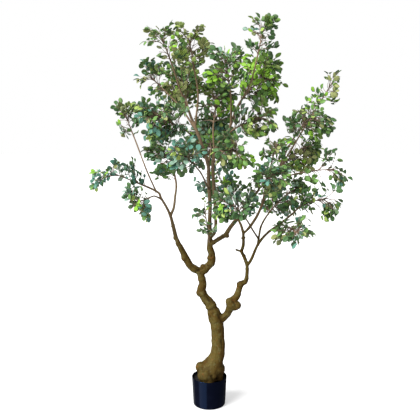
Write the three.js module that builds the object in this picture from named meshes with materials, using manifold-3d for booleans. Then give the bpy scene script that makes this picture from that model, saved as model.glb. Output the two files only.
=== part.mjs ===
// An artificial fringe flower tree in a dark plastic pot, about 2.2 m tall.
// Millimetres, +Z up. The origin is the centre of the pot's flat underside, and the tree is seen
// from -Y: its left bough reaches to -X and its right stem to +X.
//
// The trunk stands on the pot's filling and forks low down. Every bough is one tapering limb that
// starts on an earlier limb and ends where it enters its mass of foliage. Every mass grows from its
// bough's tip by one rule: a stem, twigs that leave it for evenly spread goals, and leaves on them.

import * as THREE from 'three';
import { mergeVertices } from 'three/addons/utils/BufferGeometryUtils.js';
import Module from 'manifold-3d';

const wasm = await Module();
wasm.setup();

// Driving dimensions
const GAP = 0.3; // clearance between pieces that touch
const CARVE = 0.4; // what is cut round a limb, so that the flats of its sides keep the clearance too
const POT = { height: 166, rimRadius: 100.5, footRadius: 92.5, bevel: 6, wall: 2.4, floor: 3, sides: 32 };
const FILLING_TOP = 148;
const GROUND = FILLING_TOP + GAP; // the flat cut under the trunk
const LEAF = { length: 112, width: 104, thickness: 3.2, belly: 0.56, sizes: [1.2, 1, 0.8] };
const SIDE_LEAVES = [0.75, 0.45]; // where side leaves are tried on a twig, as shares of its length
const LEAF_TURNS = [0, 55, -55, 110, -110, 165]; // the ways a leaf may point, in degrees from its twig
const LEAF_ROOM = 0.6; // the least distance between two leaves' middles, as a share of a leaf's length
const LEAF_REACH = [0.08, 1.03]; // between these shares of its length a leaf counts as in another's way
const SKYWARD = 0.4; // how much of a leaf's facing is straight up, beside a whole share outwards
const TWIG = { footWidth: 4.4, tipWidth: 3.6, perMass: 8, tries: 140, setBack: 0.55, feet: [0.12, 0.96] };
const STEM = { footRadius: 6.4, tipRadius: 5, sides: 4, rings: 3, pastMiddle: 0.4, lead: 0.45 };
const BOUGH_END = 0.8; // a bough ends at this share of its mass's reach
const GOAL_DEPTH = [0.45, 0.95]; // a twig's goal lies between these shares of a mass's reach
const SPACE_MARGIN = 0.02; // what a point keeps clear of its neighbours' space, as a share of reach
const LIMB_CLEARANCE = 6; // what foliage keeps clear of the limbs
const LIMB_STEP = 8; // how closely a limb is sampled for that
const NEAR_DEPTH = 1.7; // limbs further out than this, in shares of a mass's reach, can't be in its way
const CURVE_STEP = 0.005; // the step, as a share of a curve, in which its end is looked for

const COLOURS = { pot: 0x12182e, filling: 0x14120f, bark: 0x75602f, foliage: 0x2f5a34 };

// The limbs. A route is a list of places [x, y, z], the first one inside the limb that it grows
// from, and girth is the radius along it, spread evenly from its foot to its tip.
const LIMBS = [
  {
    name: 'trunk', sides: 12, rings: 12,
    route: [[8, 0, GROUND], [8, 0, 190], [26, 0, 240], [45, 0, 290], [51, 0, 350], [49, 0, 410],
      [44, 0, 475], [30, 0, 532], [18, 0, 566]],
    girth: [74, 76, 56, 43, 39, 37, 38.5, 37, 32],
  },
  {
    name: 'left_bough', from: 'trunk', sides: 8, rings: 17,
    route: [[30, 0, 532], [8, 0, 588], [-22, 0, 630], [-45, 0, 672], [-37, 0, 712], [-45, 0, 750],
      [-58, 0, 785], [-108, -5, 822], [-153, -15, 912], [-184, -25, 982], [-215, -40, 1112],
      [-262, -52, 1206], [-296, -60, 1252]],
    girth: [31, 29, 26, 25, 21, 20, 22, 18, 15, 12, 6.5, 5],
  },
  {
    name: 'left_upright', from: 'left_bough', sides: 5, rings: 5,
    route: [[-215, -40, 1108], [-197, -20, 1151], [-191, 20, 1207], [-188, 70, 1286]],
    girth: [5.5, 5, 4.5],
  },
  {
    name: 'left_low', from: 'left_bough', sides: 5, rings: 4,
    route: [[-257, -50, 1200], [-287, -85, 1221], [-307, -115, 1225]],
    girth: [4.4, 4, 3.6],
  },
  {
    name: 'left_rise', from: 'left_bough', sides: 5, rings: 6,
    route: [[-288, -58, 1242], [-345, -20, 1362], [-405, 40, 1506]],
    girth: [4.6, 4, 3.6],
  },
  {
    name: 'centre_mast', from: 'left_bough', sides: 7, rings: 16,
    route: [[-54, 0, 774], [-16, 3, 806], [12, 6, 838], [14, 10, 880], [3, 12, 920], [3, 15, 960],
      [2, 18, 1066], [4, 20, 1167], [-4, 27, 1300], [-7, 30, 1385], [-54, 40, 1534], [-102, 65, 1649],
      [-126, 120, 1728]],
    girth: [21, 22, 22, 20, 18, 14, 11.5, 11, 10.5, 10, 9, 7, 5],
  },
  {
    name: 'second_mast', from: 'centre_mast', sides: 6, rings: 10,
    route: [[3, 14, 975], [33, -6, 1020], [35, -10, 1110], [25, -14, 1266], [20, -20, 1388],
      [38, -30, 1481], [99, -40, 1570], [152, -45, 1701], [209, -10, 1782]],
    girth: [12, 9.5, 9, 9.5, 10, 9.5, 8.5, 7, 5],
  },
  {
    name: 'centre_right', from: 'centre_mast', sides: 6, rings: 7,
    route: [[4, 13, 938], [64, -10, 981], [93, -22, 1004], [122, -40, 1053], [178, -85, 1133],
      [228, -135, 1214]],
    girth: [13, 12.5, 12, 11, 8.5, 7],
  },
  {
    name: 'right_stem', from: 'trunk', sides: 7, rings: 19,
    route: [[48, 0, 492], [98, 0, 533], [118, 0, 575], [130, 0, 612], [158, 2, 645], [170, 5, 685],
      [182, 8, 712], [207, 10, 726], [214, 12, 765], [213, 15, 819], [197, 25, 867], [184, 30, 894],
      [193, 35, 931], [192, 42, 993], [180, 56, 1042], [153, 80, 1090], [114, 120, 1160]],
    girth: [23, 21, 24, 23, 18, 17, 17, 13, 10, 9.5, 9, 8.5, 7, 6.5, 5.5, 5, 4.5],
  },
  {
    name: 'right_inner', from: 'right_stem', sides: 6, rings: 8,
    route: [[192, 42, 993], [230, 30, 1038], [274, 25, 1110], [316, 45, 1209], [355, 80, 1297],
      [415, 120, 1379]],
    girth: [7, 8, 7.5, 6.5, 5.5],
  },
  {
    name: 'right_high', from: 'right_inner', sides: 5, rings: 5,
    route: [[379, 96, 1332], [431, 30, 1468], [477, -25, 1562]],
    girth: [5, 4.4, 4],
  },
  {
    name: 'right_peak', from: 'right_inner', sides: 5, rings: 6,
    route: [[400, 110, 1358], [491, 70, 1522], [570, 60, 1660], [626, 75, 1748]],
    girth: [4.8, 4.3, 3.6],
  },
  {
    name: 'right_tip', from: 'right_inner', sides: 5, rings: 5,
    route: [[319, 47, 1219], [419, 0, 1315], [523, -35, 1351]],
    girth: [4.8, 4.3, 3.8],
  },
  {
    name: 'right_near', from: 'right_inner', sides: 5, rings: 5,
    route: [[297, 36, 1166], [316, -40, 1307], [332, -85, 1392]],
    girth: [4.8, 4.3, 3.8],
  },
  {
    name: 'right_outer', from: 'right_stem', sides: 6, rings: 9,
    route: [[213, 15, 812], [238, 5, 856], [274, -10, 945], [325, -25, 1012], [390, -45, 1065],
      [452, -70, 1124], [508, -90, 1176]],
    girth: [8, 7, 6.5, 6.2, 5.6, 4.8, 4.2],
  },
  {
    name: 'right_hang', from: 'right_outer', sides: 5, rings: 4,
    route: [[378, -41, 1056], [405, -100, 1066], [421, -145, 1066]],
    girth: [4.4, 4, 3.6],
  },
  {
    name: 'right_middle', from: 'right_outer', sides: 5, rings: 6,
    route: [[272, -9, 938], [281, 25, 984], [301, 70, 1046], [364, 140, 1122]],
    girth: [5.4, 4.8, 4.2],
  },
  {
    name: 'cross_twig', from: 'right_middle', sides: 5, rings: 5,
    route: [[278, 14, 970], [241, -50, 1029], [198, -120, 1104]],
    girth: [4.2, 3.8, 3.4],
  },
  {
    name: 'blue_side', from: 'centre_mast', sides: 5, rings: 4,
    route: [[-2, 24, 1246], [-39, -70, 1337], [-65, -130, 1379]],
    girth: [5, 4.4, 4],
  },
  {
    name: 'lower_left', from: 'centre_mast', sides: 5, rings: 5,
    route: [[-34, 36, 1470], [-104, -50, 1557], [-165, -110, 1600]],
    girth: [5.6, 4.8, 4.2],
  },
  {
    name: 'outer_left', from: 'centre_mast', sides: 5, rings: 5,
    route: [[-68, 45, 1569], [-157, 75, 1699], [-219, 90, 1765]],
    girth: [5.6, 4.8, 4.2],
  },
  {
    name: 'top_left', from: 'centre_mast', sides: 5, rings: 6,
    route: [[-90, 57, 1622], [-147, -10, 1766], [-196, -70, 1918]],
    girth: [5.6, 4.8, 4.2],
  },
  {
    name: 'top_middle', from: 'centre_mast', sides: 5, rings: 6,
    route: [[-79, 51, 1596], [-62, 55, 1769], [-84, 62, 1915]],
    girth: [5.6, 4.8, 4.2],
  },
  {
    name: 'back_low', from: 'second_mast', sides: 5, rings: 5,
    route: [[28, -25, 1436], [21, 80, 1566], [27, 130, 1633]],
    girth: [5.6, 4.8, 4.2],
  },
  {
    name: 'side_spur', from: 'second_mast', sides: 5, rings: 4,
    route: [[76, -36, 1535], [144, -50, 1589]],
    girth: [5.2, 4.4],
  },
  {
    name: 'green_front', from: 'second_mast', sides: 5, rings: 5,
    route: [[118, -42, 1617], [114, -110, 1735], [108, -145, 1785]],
    girth: [5.2, 4.6, 4],
  },
  {
    name: 'top_sprig', from: 'second_mast', sides: 5, rings: 6,
    route: [[160, -43, 1712], [214, -105, 1818], [250, -95, 1952]],
    girth: [5, 4.4, 3.8],
  },
  {
    name: 'middle_spur', from: 'second_mast', sides: 5, rings: 4,
    route: [[34, -27, 1463], [68, -110, 1463], [93, -160, 1470]],
    girth: [4.8, 4.4, 4],
  },
  {
    name: 'back_dome', from: 'centre_mast', sides: 5, rings: 5,
    route: [[-7, 29, 1348], [-2, 130, 1407], [10, 210, 1461]],
    girth: [5.6, 5, 4.4],
  },
];

// Swellings and pruned stubs that are part of their limb
const KNOTS = [
  { on: 'trunk', at: [-44, -12, 222], size: [36, 34, 32] },
  { on: 'trunk', at: [-34, -38, 182], size: [38, 36, 38] },
  { on: 'trunk', at: [52, -22, 205], size: [32, 36, 34] },
  { on: 'trunk', at: [40, 40, 190], size: [40, 38, 44] },
  { on: 'trunk', at: [-20, 44, 180], size: [38, 32, 34] },
  { on: 'left_bough', at: [-50, 0, 664], size: [25, 24, 24] },
  { on: 'left_bough', at: [-190, -26, 984], size: [13, 12, 15] },
  { on: 'centre_mast', at: [-34, 0, 812], size: [18, 18, 16] },
  { on: 'right_stem', at: [142, -3, 588], size: [40, 30, 30] },
  { on: 'right_stem', at: [175, 4, 708], size: [21, 21, 21] },
  { on: 'centre_right', at: [98, -22, 994], size: [15, 14, 13] },
  { on: 'second_mast', at: [36, -8, 1030], size: [13, 12, 13] },
];
const STUBS = [
  { on: 'right_stem', route: [[184, 30, 894], [148, 26, 906]], girth: [6.5, 6] },
  { on: 'right_stem', route: [[192, 39, 965], [178, 32, 973]], girth: [4.2, 2.4] },
  { on: 'right_stem', route: [[192, 39, 965], [207, 40, 972]], girth: [4.2, 2.4] },
  { on: 'left_bough', route: [[-198, -32, 1040], [-214, -36, 1050]], girth: [4.2, 2.2] },
  { on: 'left_bough', route: [[-198, -32, 1040], [-190, -36, 1060]], girth: [4.2, 2.4] },
];

// The masses of foliage. Each keeps to the space round its middle, as far as its reach on each side,
// and grows from the tip of the limb that it is on, or from that limb's side at a share of its length.
const MASSES = [
  { name: 'left_spray_leaves', on: 'left_bough', middle: [-492, -100, 1340], reach: [184, 112, 92] },
  { name: 'left_upright_leaves', on: 'left_upright', middle: [-225, 130, 1424], reach: [164, 155, 136] },
  { name: 'left_low_leaves', on: 'left_low', middle: [-373, -190, 1202], reach: [98, 105, 112] },
  { name: 'left_rise_leaves', on: 'left_rise', middle: [-458, 90, 1630], reach: [108, 115, 128] },
  { name: 'left_heart_leaves', on: 'centre_mast', middle: [-154, 260, 1836], reach: [148, 160, 165] },
  { name: 'blue_side_leaves', on: 'blue_side', middle: [-109, -230, 1437], reach: [120, 135, 112] },
  { name: 'lower_left_leaves', on: 'lower_left', middle: [-250, -190, 1643], reach: [154, 145, 140] },
  { name: 'outer_left_leaves', on: 'outer_left', middle: [-308, 110, 1852], reach: [118, 150, 128] },
  { name: 'top_left_leaves', on: 'top_left', middle: [-234, -110, 2020], reach: [124, 142, 112] },
  { name: 'top_middle_leaves', on: 'top_middle', middle: [-104, 70, 2038], reach: [118, 142, 142] },
  { name: 'back_dome_leaves', on: 'back_dome', middle: [16, 340, 1528], reach: [176, 155, 174] },
  { name: 'back_low_leaves', on: 'back_low', middle: [39, 210, 1731], reach: [134, 155, 156] },
  { name: 'right_dome_leaves', on: 'second_mast', middle: [290, 60, 1852], reach: [142, 150, 164] },
  { name: 'side_spur_leaves', on: 'side_spur', middle: [258, -70, 1636], reach: [148, 142, 116] },
  { name: 'green_front_leaves', on: 'green_front', middle: [88, -200, 1890], reach: [132, 132, 120] },
  { name: 'top_sprig_leaves', on: 'top_sprig', middle: [276, -70, 2078], reach: [98, 105, 112] },
  { name: 'middle_leaves', on: 'middle_spur', middle: [126, -250, 1479], reach: [120, 132, 128] },
  { name: 'centre_right_leaves', on: 'centre_right', middle: [297, -240, 1334], reach: [140, 132, 108] },
  { name: 'centre_low_leaves', on: 'right_stem', middle: [70, 200, 1274], reach: [142, 145, 120] },
  { name: 'right_inner_leaves', on: 'right_inner', middle: [522, 190, 1458], reach: [166, 142, 140] },
  { name: 'right_high_leaves', on: 'right_high', middle: [528, -90, 1636], reach: [150, 138, 118] },
  { name: 'right_peak_leaves', on: 'right_peak', middle: [668, 90, 1814], reach: [94, 108, 104] },
  { name: 'right_tip_leaves', on: 'right_tip', middle: [640, -60, 1364], reach: [142, 132, 112] },
  { name: 'right_near_leaves', on: 'right_near', middle: [347, -130, 1485], reach: [98, 110, 98] },
  { name: 'right_end_leaves', on: 'right_outer', middle: [604, -110, 1207], reach: [126, 126, 112] },
  { name: 'right_hang_leaves', on: 'right_hang', middle: [444, -240, 1057], reach: [122, 120, 112] },
  { name: 'right_middle_leaves', on: 'right_middle', middle: [450, 230, 1184], reach: [164, 148, 140] },
  { name: 'cross_leaves', on: 'cross_twig', middle: [128, -230, 1195], reach: [132, 120, 92] },
  {
    name: 'mast_sprig_leaves', on: 'centre_mast', side: 0.36, middle: [-20, -100, 1128],
    reach: [76, 86, 138],
  },
];

// Turns a closed geometry into a solid that can be joined and cut.
function solidOf(geometry) {
  geometry.deleteAttribute('normal');
  geometry.deleteAttribute('uv');
  const merged = mergeVertices(geometry, 1e-4);
  return new wasm.Manifold(new wasm.Mesh({
    numProp: 3,
    vertProperties: new Float32Array(merged.attributes.position.array),
    triVerts: new Uint32Array(merged.index.array),
  }));
}

// The largest connected body of a solid: loose scraps and sealed hollows are dropped.
function mainBody(solid) {
  return solid.decompose().reduce((best, piece) => (piece.volume() > best.volume() ? piece : best));
}

function geometryOf(solid) {
  const { vertProperties, triVerts } = solid.getMesh();
  const geometry = new THREE.BufferGeometry();
  geometry.setAttribute('position', new THREE.BufferAttribute(vertProperties, 3));
  geometry.setIndex(new THREE.BufferAttribute(triVerts, 1));
  geometry.computeVertexNormals();
  return geometry;
}

// The value at a share from 0 to 1 of a list whose entries are spread evenly.
function spreadValue(values, share) {
  const place = Math.min(Math.max(share, 0), 1) * (values.length - 1);
  const index = Math.min(Math.floor(place), values.length - 2);
  return THREE.MathUtils.lerp(values[index], values[index + 1], place - index);
}

// A closed tapering tube along a curve: a capped cylinder whose rings are carried to the curve and
// turned with it. Its radius is girth(share), and both its ends and its wall are moved out by grow.
function tubeAlong(curve, girth, sides, rings, grow = 0) {
  const frames = [];
  let normal = new THREE.Vector3(0, -1, 0);
  for (let ring = 0; ring <= rings; ring++) {
    const share = ring / rings;
    const along = curve.getTangent(share);
    normal = normal.clone().addScaledVector(along, -normal.dot(along)).normalize();
    const endShift = ring === 0 ? -grow : ring === rings ? grow : 0;
    frames.push({
      centre: curve.getPoint(share).addScaledVector(along, endShift),
      normal,
      across: new THREE.Vector3().crossVectors(normal, along),
      radius: girth(share) + grow,
    });
  }
  const geometry = new THREE.CylinderGeometry(1, 1, 1, sides, rings);
  const vertices = geometry.attributes.position;
  for (let i = 0; i < vertices.count; i++) {
    const frame = frames[Math.round((vertices.getY(i) + 0.5) * rings)];
    const place = frame.centre.clone()
      .addScaledVector(frame.normal, vertices.getX(i) * frame.radius)
      .addScaledVector(frame.across, vertices.getZ(i) * frame.radius);
    vertices.setXYZ(i, place.x, place.y, place.z);
  }
  return solidOf(geometry);
}

// A low round swelling, grown by the same amount as the limb that it is on.
function swelling({ at, size }, grow) {
  const geometry = new THREE.SphereGeometry(1, 8, 5);
  geometry.scale(...size.map((radius) => radius + grow));
  geometry.translate(...at);
  return solidOf(geometry);
}

// How far out a place lies in a mass's space, from 0 at its middle to 1 at its edge.
function depthIn(mass, place) {
  const [x, y, z] = mass.middle;
  const [reachX, reachY, reachZ] = mass.reach;
  return Math.hypot((place.x - x) / reachX, (place.y - y) / reachY, (place.z - z) / reachZ);
}

// A place belongs to a mass if it is within its reach and deeper in it than in any other.
function isOwned(mass, place) {
  const depth = depthIn(mass, place);
  if (depth > 1) return false;
  return MASSES.every((other) => other === mass || depthIn(other, place) > depth + SPACE_MARGIN);
}

// The first part of a curve, up to a share of it.
class CurveStart extends THREE.Curve {
  constructor(curve, end) {
    super();
    this.curve = curve;
    this.end = end;
  }

  getPoint(share, target) {
    return this.curve.getPoint(share * this.end, target);
  }
}

// A limb's curve through its places. A bough heads on for its mass's middle and ends where it enters
// the mass.
function curveOf(limb) {
  const places = limb.route.map((place) => new THREE.Vector3(...place));
  const mass = MASSES.find(({ on, side }) => on === limb.name && !side);
  if (mass) places.push(new THREE.Vector3(...mass.middle));
  const curve = new THREE.CatmullRomCurve3(places, false, 'catmullrom', 0.5);
  if (!mass) return curve;
  const hasEntered = (place) => depthIn(mass, place) <= BOUGH_END && isOwned(mass, place);
  let end = 0;
  while (!hasEntered(curve.getPoint(end))) end += CURVE_STEP;
  return new CurveStart(curve, end);
}

function makeLimb(limb) {
  const curve = curveOf(limb);
  const girth = (share) => spreadValue(limb.girth, share);
  const grown = (grow) => {
    const parts = [tubeAlong(curve, girth, limb.sides, limb.rings, grow)];
    for (const knot of KNOTS.filter(({ on }) => on === limb.name)) parts.push(swelling(knot, grow));
    for (const stub of STUBS.filter(({ on }) => on === limb.name)) {
      const line = new THREE.LineCurve3(...stub.route.map((place) => new THREE.Vector3(...place)));
      parts.push(tubeAlong(line, (share) => spreadValue(stub.girth, share), 5, 1, grow));
    }
    return wasm.Manifold.union(parts);
  };
  return { ...limb, curve, girth, solid: grown(0), grown: grown(CARVE) };
}

function boxesMeet(a, b) {
  const [boxA, boxB] = [a.boundingBox(), b.boundingBox()];
  return [0, 1, 2].every((axis) => boxA.min[axis] <= boxB.max[axis] && boxB.min[axis] <= boxA.max[axis]);
}

// Everything below the ground is cut from the trunk, so its foot is flat.
function cutAtGround(solid) {
  const block = new THREE.BoxGeometry(400, 400, 200);
  block.translate(0, 0, GROUND - 100);
  return solid.subtract(solidOf(block));
}

// Each limb is cut clear of the limbs made before it, so that forks meet with a hairline gap.
const limbs = [];
for (const entry of LIMBS) {
  const limb = makeLimb(entry);
  if (limb.name === 'trunk') limb.solid = cutAtGround(limb.solid);
  for (const earlier of limbs) {
    if (boxesMeet(limb.solid, earlier.grown)) limb.solid = limb.solid.subtract(earlier.grown);
  }
  limb.solid = mainBody(limb.solid);
  limbs.push(limb);
}

// Balls along every limb and on its swellings, which foliage keeps clear of.
const limbBalls = limbs.flatMap((limb) => {
  const count = Math.ceil(limb.curve.getLength() / LIMB_STEP);
  return Array.from({ length: count + 1 }, (_, i) => (
    { place: limb.curve.getPoint(i / count), radius: limb.girth(i / count) }));
});
for (const { at, size } of KNOTS) {
  limbBalls.push({ place: new THREE.Vector3(...at), radius: Math.max(...size) });
}

// Evenly spread numbers from 0 to 1: entry number index of the sequence for a mass and a channel.
const SPREAD_STEPS = [0.8191725134, 0.6710436067, 0.5497004779];
function spreadNumber(massNumber, index, channel) {
  const value = 0.5 + massNumber * 0.6180339887 + (index + 1) * SPREAD_STEPS[channel];
  return value - Math.floor(value);
}

// The goal of a mass's twig: a place in its outer shell.
function goalOf(mass, massNumber, index) {
  const turn = 2 * Math.PI * spreadNumber(massNumber, index, 0);
  const height = 2 * spreadNumber(massNumber, index, 1) - 1;
  const level = Math.sqrt(1 - height * height);
  const depth = THREE.MathUtils.lerp(...GOAL_DEPTH, spreadNumber(massNumber, index, 2));
  const [reachX, reachY, reachZ] = mass.reach;
  return new THREE.Vector3(...mass.middle).add(new THREE.Vector3(
    depth * reachX * level * Math.cos(turn),
    depth * reachY * level * Math.sin(turn),
    depth * reachZ * height,
  ));
}

// The stem of a mass runs on from its bough's tip, or starts inside its bough where it leaves the
// side, and bends towards the far side of its space.
function stemOf(mass, bough) {
  const middle = new THREE.Vector3(...mass.middle);
  const tip = bough.curve.getPoint(mass.side ?? 1);
  const along = mass.side ? middle.clone().sub(tip).normalize() : bough.curve.getTangent(1);
  const foot = tip.clone().addScaledVector(along, mass.side ? 0 : CARVE + 0.05);
  const end = middle.clone().addScaledVector(middle.clone().sub(tip), STEM.pastMiddle);
  const bend = foot.clone().addScaledVector(along, STEM.lead * foot.distanceTo(end));
  return new THREE.QuadraticBezierCurve3(foot, bend, end);
}

// A twig leaves the stem below the place that is nearest to its goal, set back by a share of the
// goal's distance from the stem.
function twigTo(goal, stem) {
  const shares = Array.from({ length: 21 }, (_, i) => i / 20);
  const distances = shares.map((share) => stem.getPoint(share).distanceTo(goal));
  const away = Math.min(...distances);
  const foot = shares[distances.indexOf(away)] - (TWIG.setBack * away) / stem.getLength();
  return new THREE.LineCurve3(stem.getPoint(THREE.MathUtils.clamp(foot, ...TWIG.feet)), goal);
}

// A leaf's own axes: its face is turned outwards and to the sky, and it points away from its twig.
function leafFrame(twig, share, turn, mass, tilt) {
  const along = twig.getTangent(share);
  const outward = twig.getPoint(share).sub(new THREE.Vector3(...mass.middle)).normalize();
  const level = new THREE.Vector3(-outward.y, outward.x, 0);
  const normal = outward.addScaledVector(level, tilt).add(new THREE.Vector3(0, 0, SKYWARD)).normalize();
  const pointing = along.addScaledVector(normal, -along.dot(normal)).normalize();
  pointing.applyAxisAngle(normal, THREE.MathUtils.degToRad(turn));
  return { pointing, normal, width: new THREE.Vector3().crossVectors(pointing, normal) };
}

// Half a leaf's width at a share of its length: it widens evenly to its belly and narrows to its tip.
function halfWidth(size, share) {
  const fullness = share < LEAF.belly ? share / LEAF.belly : (1 - share) / (1 - LEAF.belly);
  return 0.5 * size * LEAF.width * fullness;
}

// A place on a leaf's face: along it as a share of its length, and across as a share of its half width.
function onLeaf({ root, frame, size }, along, across) {
  return root.clone()
    .addScaledVector(frame.pointing, along * size * LEAF.length)
    .addScaledVector(frame.width, across * halfWidth(size, along));
}

// Places spread over a leaf's face, out to its edge.
function leafPlaces(leaf) {
  return [0.12, 0.3, 0.45, LEAF.belly, 0.78, 1].flatMap((along) => (
    [-1, -0.5, 0, 0.5, 1].map((across) => onLeaf(leaf, along, across))));
}

// The straight edges of a leaf's outline.
function leafEdges(leaf) {
  const corners = [[LEAF_REACH[0], 0], [LEAF.belly, 1], [1, 0], [LEAF.belly, -1]];
  const places = corners.map((corner) => onLeaf(leaf, ...corner));
  return places.map((place, i) => [place, places[(i + 1) % places.length]]);
}

// Whether the line between two places passes through a leaf, away from its root.
function pierces([from, to], { root, frame, size }) {
  const [heightFrom, heightTo] = [from, to].map((place) => place.clone().sub(root).dot(frame.normal));
  if (heightFrom * heightTo > 0) return false;
  const crossing = from.clone().lerp(to, heightFrom / (heightFrom - heightTo)).sub(root);
  const along = crossing.dot(frame.pointing) / (size * LEAF.length);
  return along > LEAF_REACH[0] && along < LEAF_REACH[1]
    && Math.abs(crossing.dot(frame.width)) < halfWidth(size, along) + LEAF.thickness;
}

function leavesCross(leaf, other) {
  return leafEdges(leaf).some((edge) => pierces(edge, other))
    || leafEdges(other).some((edge) => pierces(edge, leaf));
}

// Carries a geometry of three-sided rings about Y to a leaf. Each ring is given from the leaf's tip
// on, with its centre, its heading, half its width and its thickness, and is flat underneath.
function bladeSolid(geometry, { pointing, normal, width }, rings) {
  const vertices = geometry.attributes.position;
  const top = vertices.getY(0);
  for (let i = 0; i < vertices.count; i++) {
    const fromTop = (top - vertices.getY(i)) / (2 * top);
    const { centre, heading, half, thickness } = rings[Math.round(fromTop * (rings.length - 1))];
    const turn = new THREE.Quaternion().setFromUnitVectors(pointing, heading);
    const radius = Math.hypot(vertices.getX(i), vertices.getZ(i)) || 1;
    const across = (vertices.getX(i) / radius) * half / Math.sin(Math.PI / 3);
    const upward = (vertices.getZ(i) / radius) * thickness / (1 + Math.cos(Math.PI / 3));
    const place = centre.clone()
      .addScaledVector(width.clone().applyQuaternion(turn), across)
      .addScaledVector(normal.clone().applyQuaternion(turn), upward);
    vertices.setXYZ(i, place.x, place.y, place.z);
  }
  return solidOf(geometry);
}

// The rings of a leaf: its tip and its widest place.
function leafRings(leaf) {
  const heading = leaf.frame.pointing;
  const half = halfWidth(leaf.size, LEAF.belly);
  return [
    { centre: onLeaf(leaf, 1, 0), heading, half: 0, thickness: 0 },
    { centre: onLeaf(leaf, LEAF.belly, 0), heading, half, thickness: LEAF.thickness },
  ];
}

// A side leaf is a flat double pyramid, whose root is sunk in its twig.
function sideLeafSolid(leaf) {
  const root = { centre: leaf.root, heading: leaf.frame.pointing, half: 0, thickness: 0 };
  return bladeSolid(new THREE.SphereGeometry(1, 3, 2), leaf.frame, [...leafRings(leaf), root]);
}

// A twig and its end leaf are one long cone, whose foot is sunk in the stem.
function twigSolid(twig, leaf) {
  const { footWidth, tipWidth } = TWIG;
  const along = twig.getTangent(0);
  const between = along.clone().add(leaf.frame.pointing).normalize();
  const rings = [
    ...leafRings(leaf),
    { centre: leaf.root, heading: between, half: tipWidth / 2, thickness: tipWidth },
    { centre: twig.v1, heading: along, half: footWidth / 2, thickness: footWidth },
  ];
  return bladeSolid(new THREE.ConeGeometry(1, 1, 3, rings.length - 1), leaf.frame, rings);
}

// The largest leaf that fits at a place on a twig and, of the ways it may point, the one with the
// most room.
function roomiestLeaf(twig, share, mass, tilt, leaves, lines, isFree) {
  const root = twig.getPoint(share);
  for (const size of LEAF.sizes) {
    let best = null;
    for (const turn of LEAF_TURNS) {
      const leaf = { root, size, frame: leafFrame(twig, share, turn, mass, tilt) };
      leaf.middle = onLeaf(leaf, LEAF.belly, 0);
      const distances = leaves.map((other) => other.middle.distanceTo(leaf.middle));
      leaf.room = Math.min(Infinity, ...distances) / (size * LEAF.length);
      if (leaf.room > (best ? best.room : LEAF_ROOM)
        && leafPlaces(leaf).every(isFree)
        && !lines.some((line) => pierces(line, leaf))
        && !leaves.some((other) => leavesCross(leaf, other))) best = leaf;
    }
    if (best) return best;
  }
  return null;
}

// The short straight lines that a curve is tested by.
function linesOf(curve, count) {
  const places = curve.getPoints(count);
  return places.slice(1).map((place, i) => [places[i], place]);
}

// One mass: its stem, its twigs and their leaves, fused into one body and cut clear of its bough.
function growMass(mass, massNumber) {
  const bough = limbs.find(({ name }) => name === mass.on);
  const stem = stemOf(mass, bough);
  const nearBalls = limbBalls.filter(({ place }) => depthIn(mass, place) < NEAR_DEPTH);
  const isFree = (place) => isOwned(mass, place)
    && nearBalls.every((ball) => ball.place.distanceTo(place) > ball.radius + LIMB_CLEARANCE);
  const stemRadius = (share) => THREE.MathUtils.lerp(STEM.footRadius, STEM.tipRadius, share);
  const parts = [tubeAlong(stem, stemRadius, STEM.sides, STEM.rings)];
  const lines = linesOf(stem, STEM.rings);
  const leaves = [];
  let twigs = 0;
  for (let index = 0; twigs < TWIG.perMass && index < TWIG.tries; index++) {
    const twig = twigTo(goalOf(mass, massNumber, index), stem);
    const line = [twig.v1, twig.v2];
    if (!twig.getPoints(10).slice(1).every(isFree) || leaves.some((leaf) => pierces(line, leaf))) continue;
    const tilt = spreadNumber(massNumber, index, 2) - 0.5;
    const endLeaf = roomiestLeaf(twig, 1, mass, tilt, leaves, lines, isFree);
    if (!endLeaf) continue;
    twigs += 1;
    lines.push(line);
    leaves.push(endLeaf);
    parts.push(twigSolid(twig, endLeaf));
    for (const share of SIDE_LEAVES) {
      const leaf = roomiestLeaf(twig, share, mass, -tilt, leaves, lines, isFree);
      if (!leaf) continue;
      leaves.push(leaf);
      parts.push(sideLeafSolid(leaf));
    }
  }
  return mainBody(wasm.Manifold.union(parts).subtract(bough.grown));
}

// A named mesh whose geometry is measured from its own foot.
function meshAt(name, solid, foot, colour, roughness) {
  const geometry = geometryOf(solid);
  geometry.translate(-foot.x, -foot.y, -foot.z);
  const material = new THREE.MeshStandardMaterial({ color: colour, roughness, metalness: 0 });
  const mesh = new THREE.Mesh(geometry, material);
  mesh.name = name;
  mesh.position.copy(foot);
  return mesh;
}

// A solid of revolution about +Z from a profile of [radius, height] pairs that starts and ends on the axis.
function turned(profile, sides) {
  const points = profile.map(([radius, height]) => new THREE.Vector2(radius, height));
  const geometry = new THREE.LatheGeometry(points, sides);
  geometry.rotateX(Math.PI / 2);
  return solidOf(geometry);
}

function makePot() {
  const { height, rimRadius, footRadius, bevel, wall, floor, sides } = POT;
  return turned([
    [0, 0], [footRadius - bevel, 0], [footRadius, bevel], [rimRadius, height],
    [rimRadius - wall, height], [footRadius - wall, floor + bevel], [footRadius - bevel, floor], [0, floor],
  ], sides);
}

function makeFilling() {
  const { height, rimRadius, footRadius, bevel, wall, floor, sides } = POT;
  const inset = wall + 2 * GAP;
  const wallAt = (z) => THREE.MathUtils.mapLinear(z, floor + bevel, height, footRadius, rimRadius);
  const radiusAt = (z) => wallAt(z) - inset;
  return turned([
    [0, floor + GAP], [footRadius - bevel - 2 * GAP, floor + GAP],
    [radiusAt(floor + bevel), floor + bevel + GAP], [radiusAt(FILLING_TOP), FILLING_TOP], [0, FILLING_TOP],
  ], sides);
}

const tree = new THREE.Group();
const origin = new THREE.Vector3();
tree.add(meshAt('pot', makePot(), origin, COLOURS.pot, 0.3));
tree.add(meshAt('filling', makeFilling(), origin, COLOURS.filling, 0.9));

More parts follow.
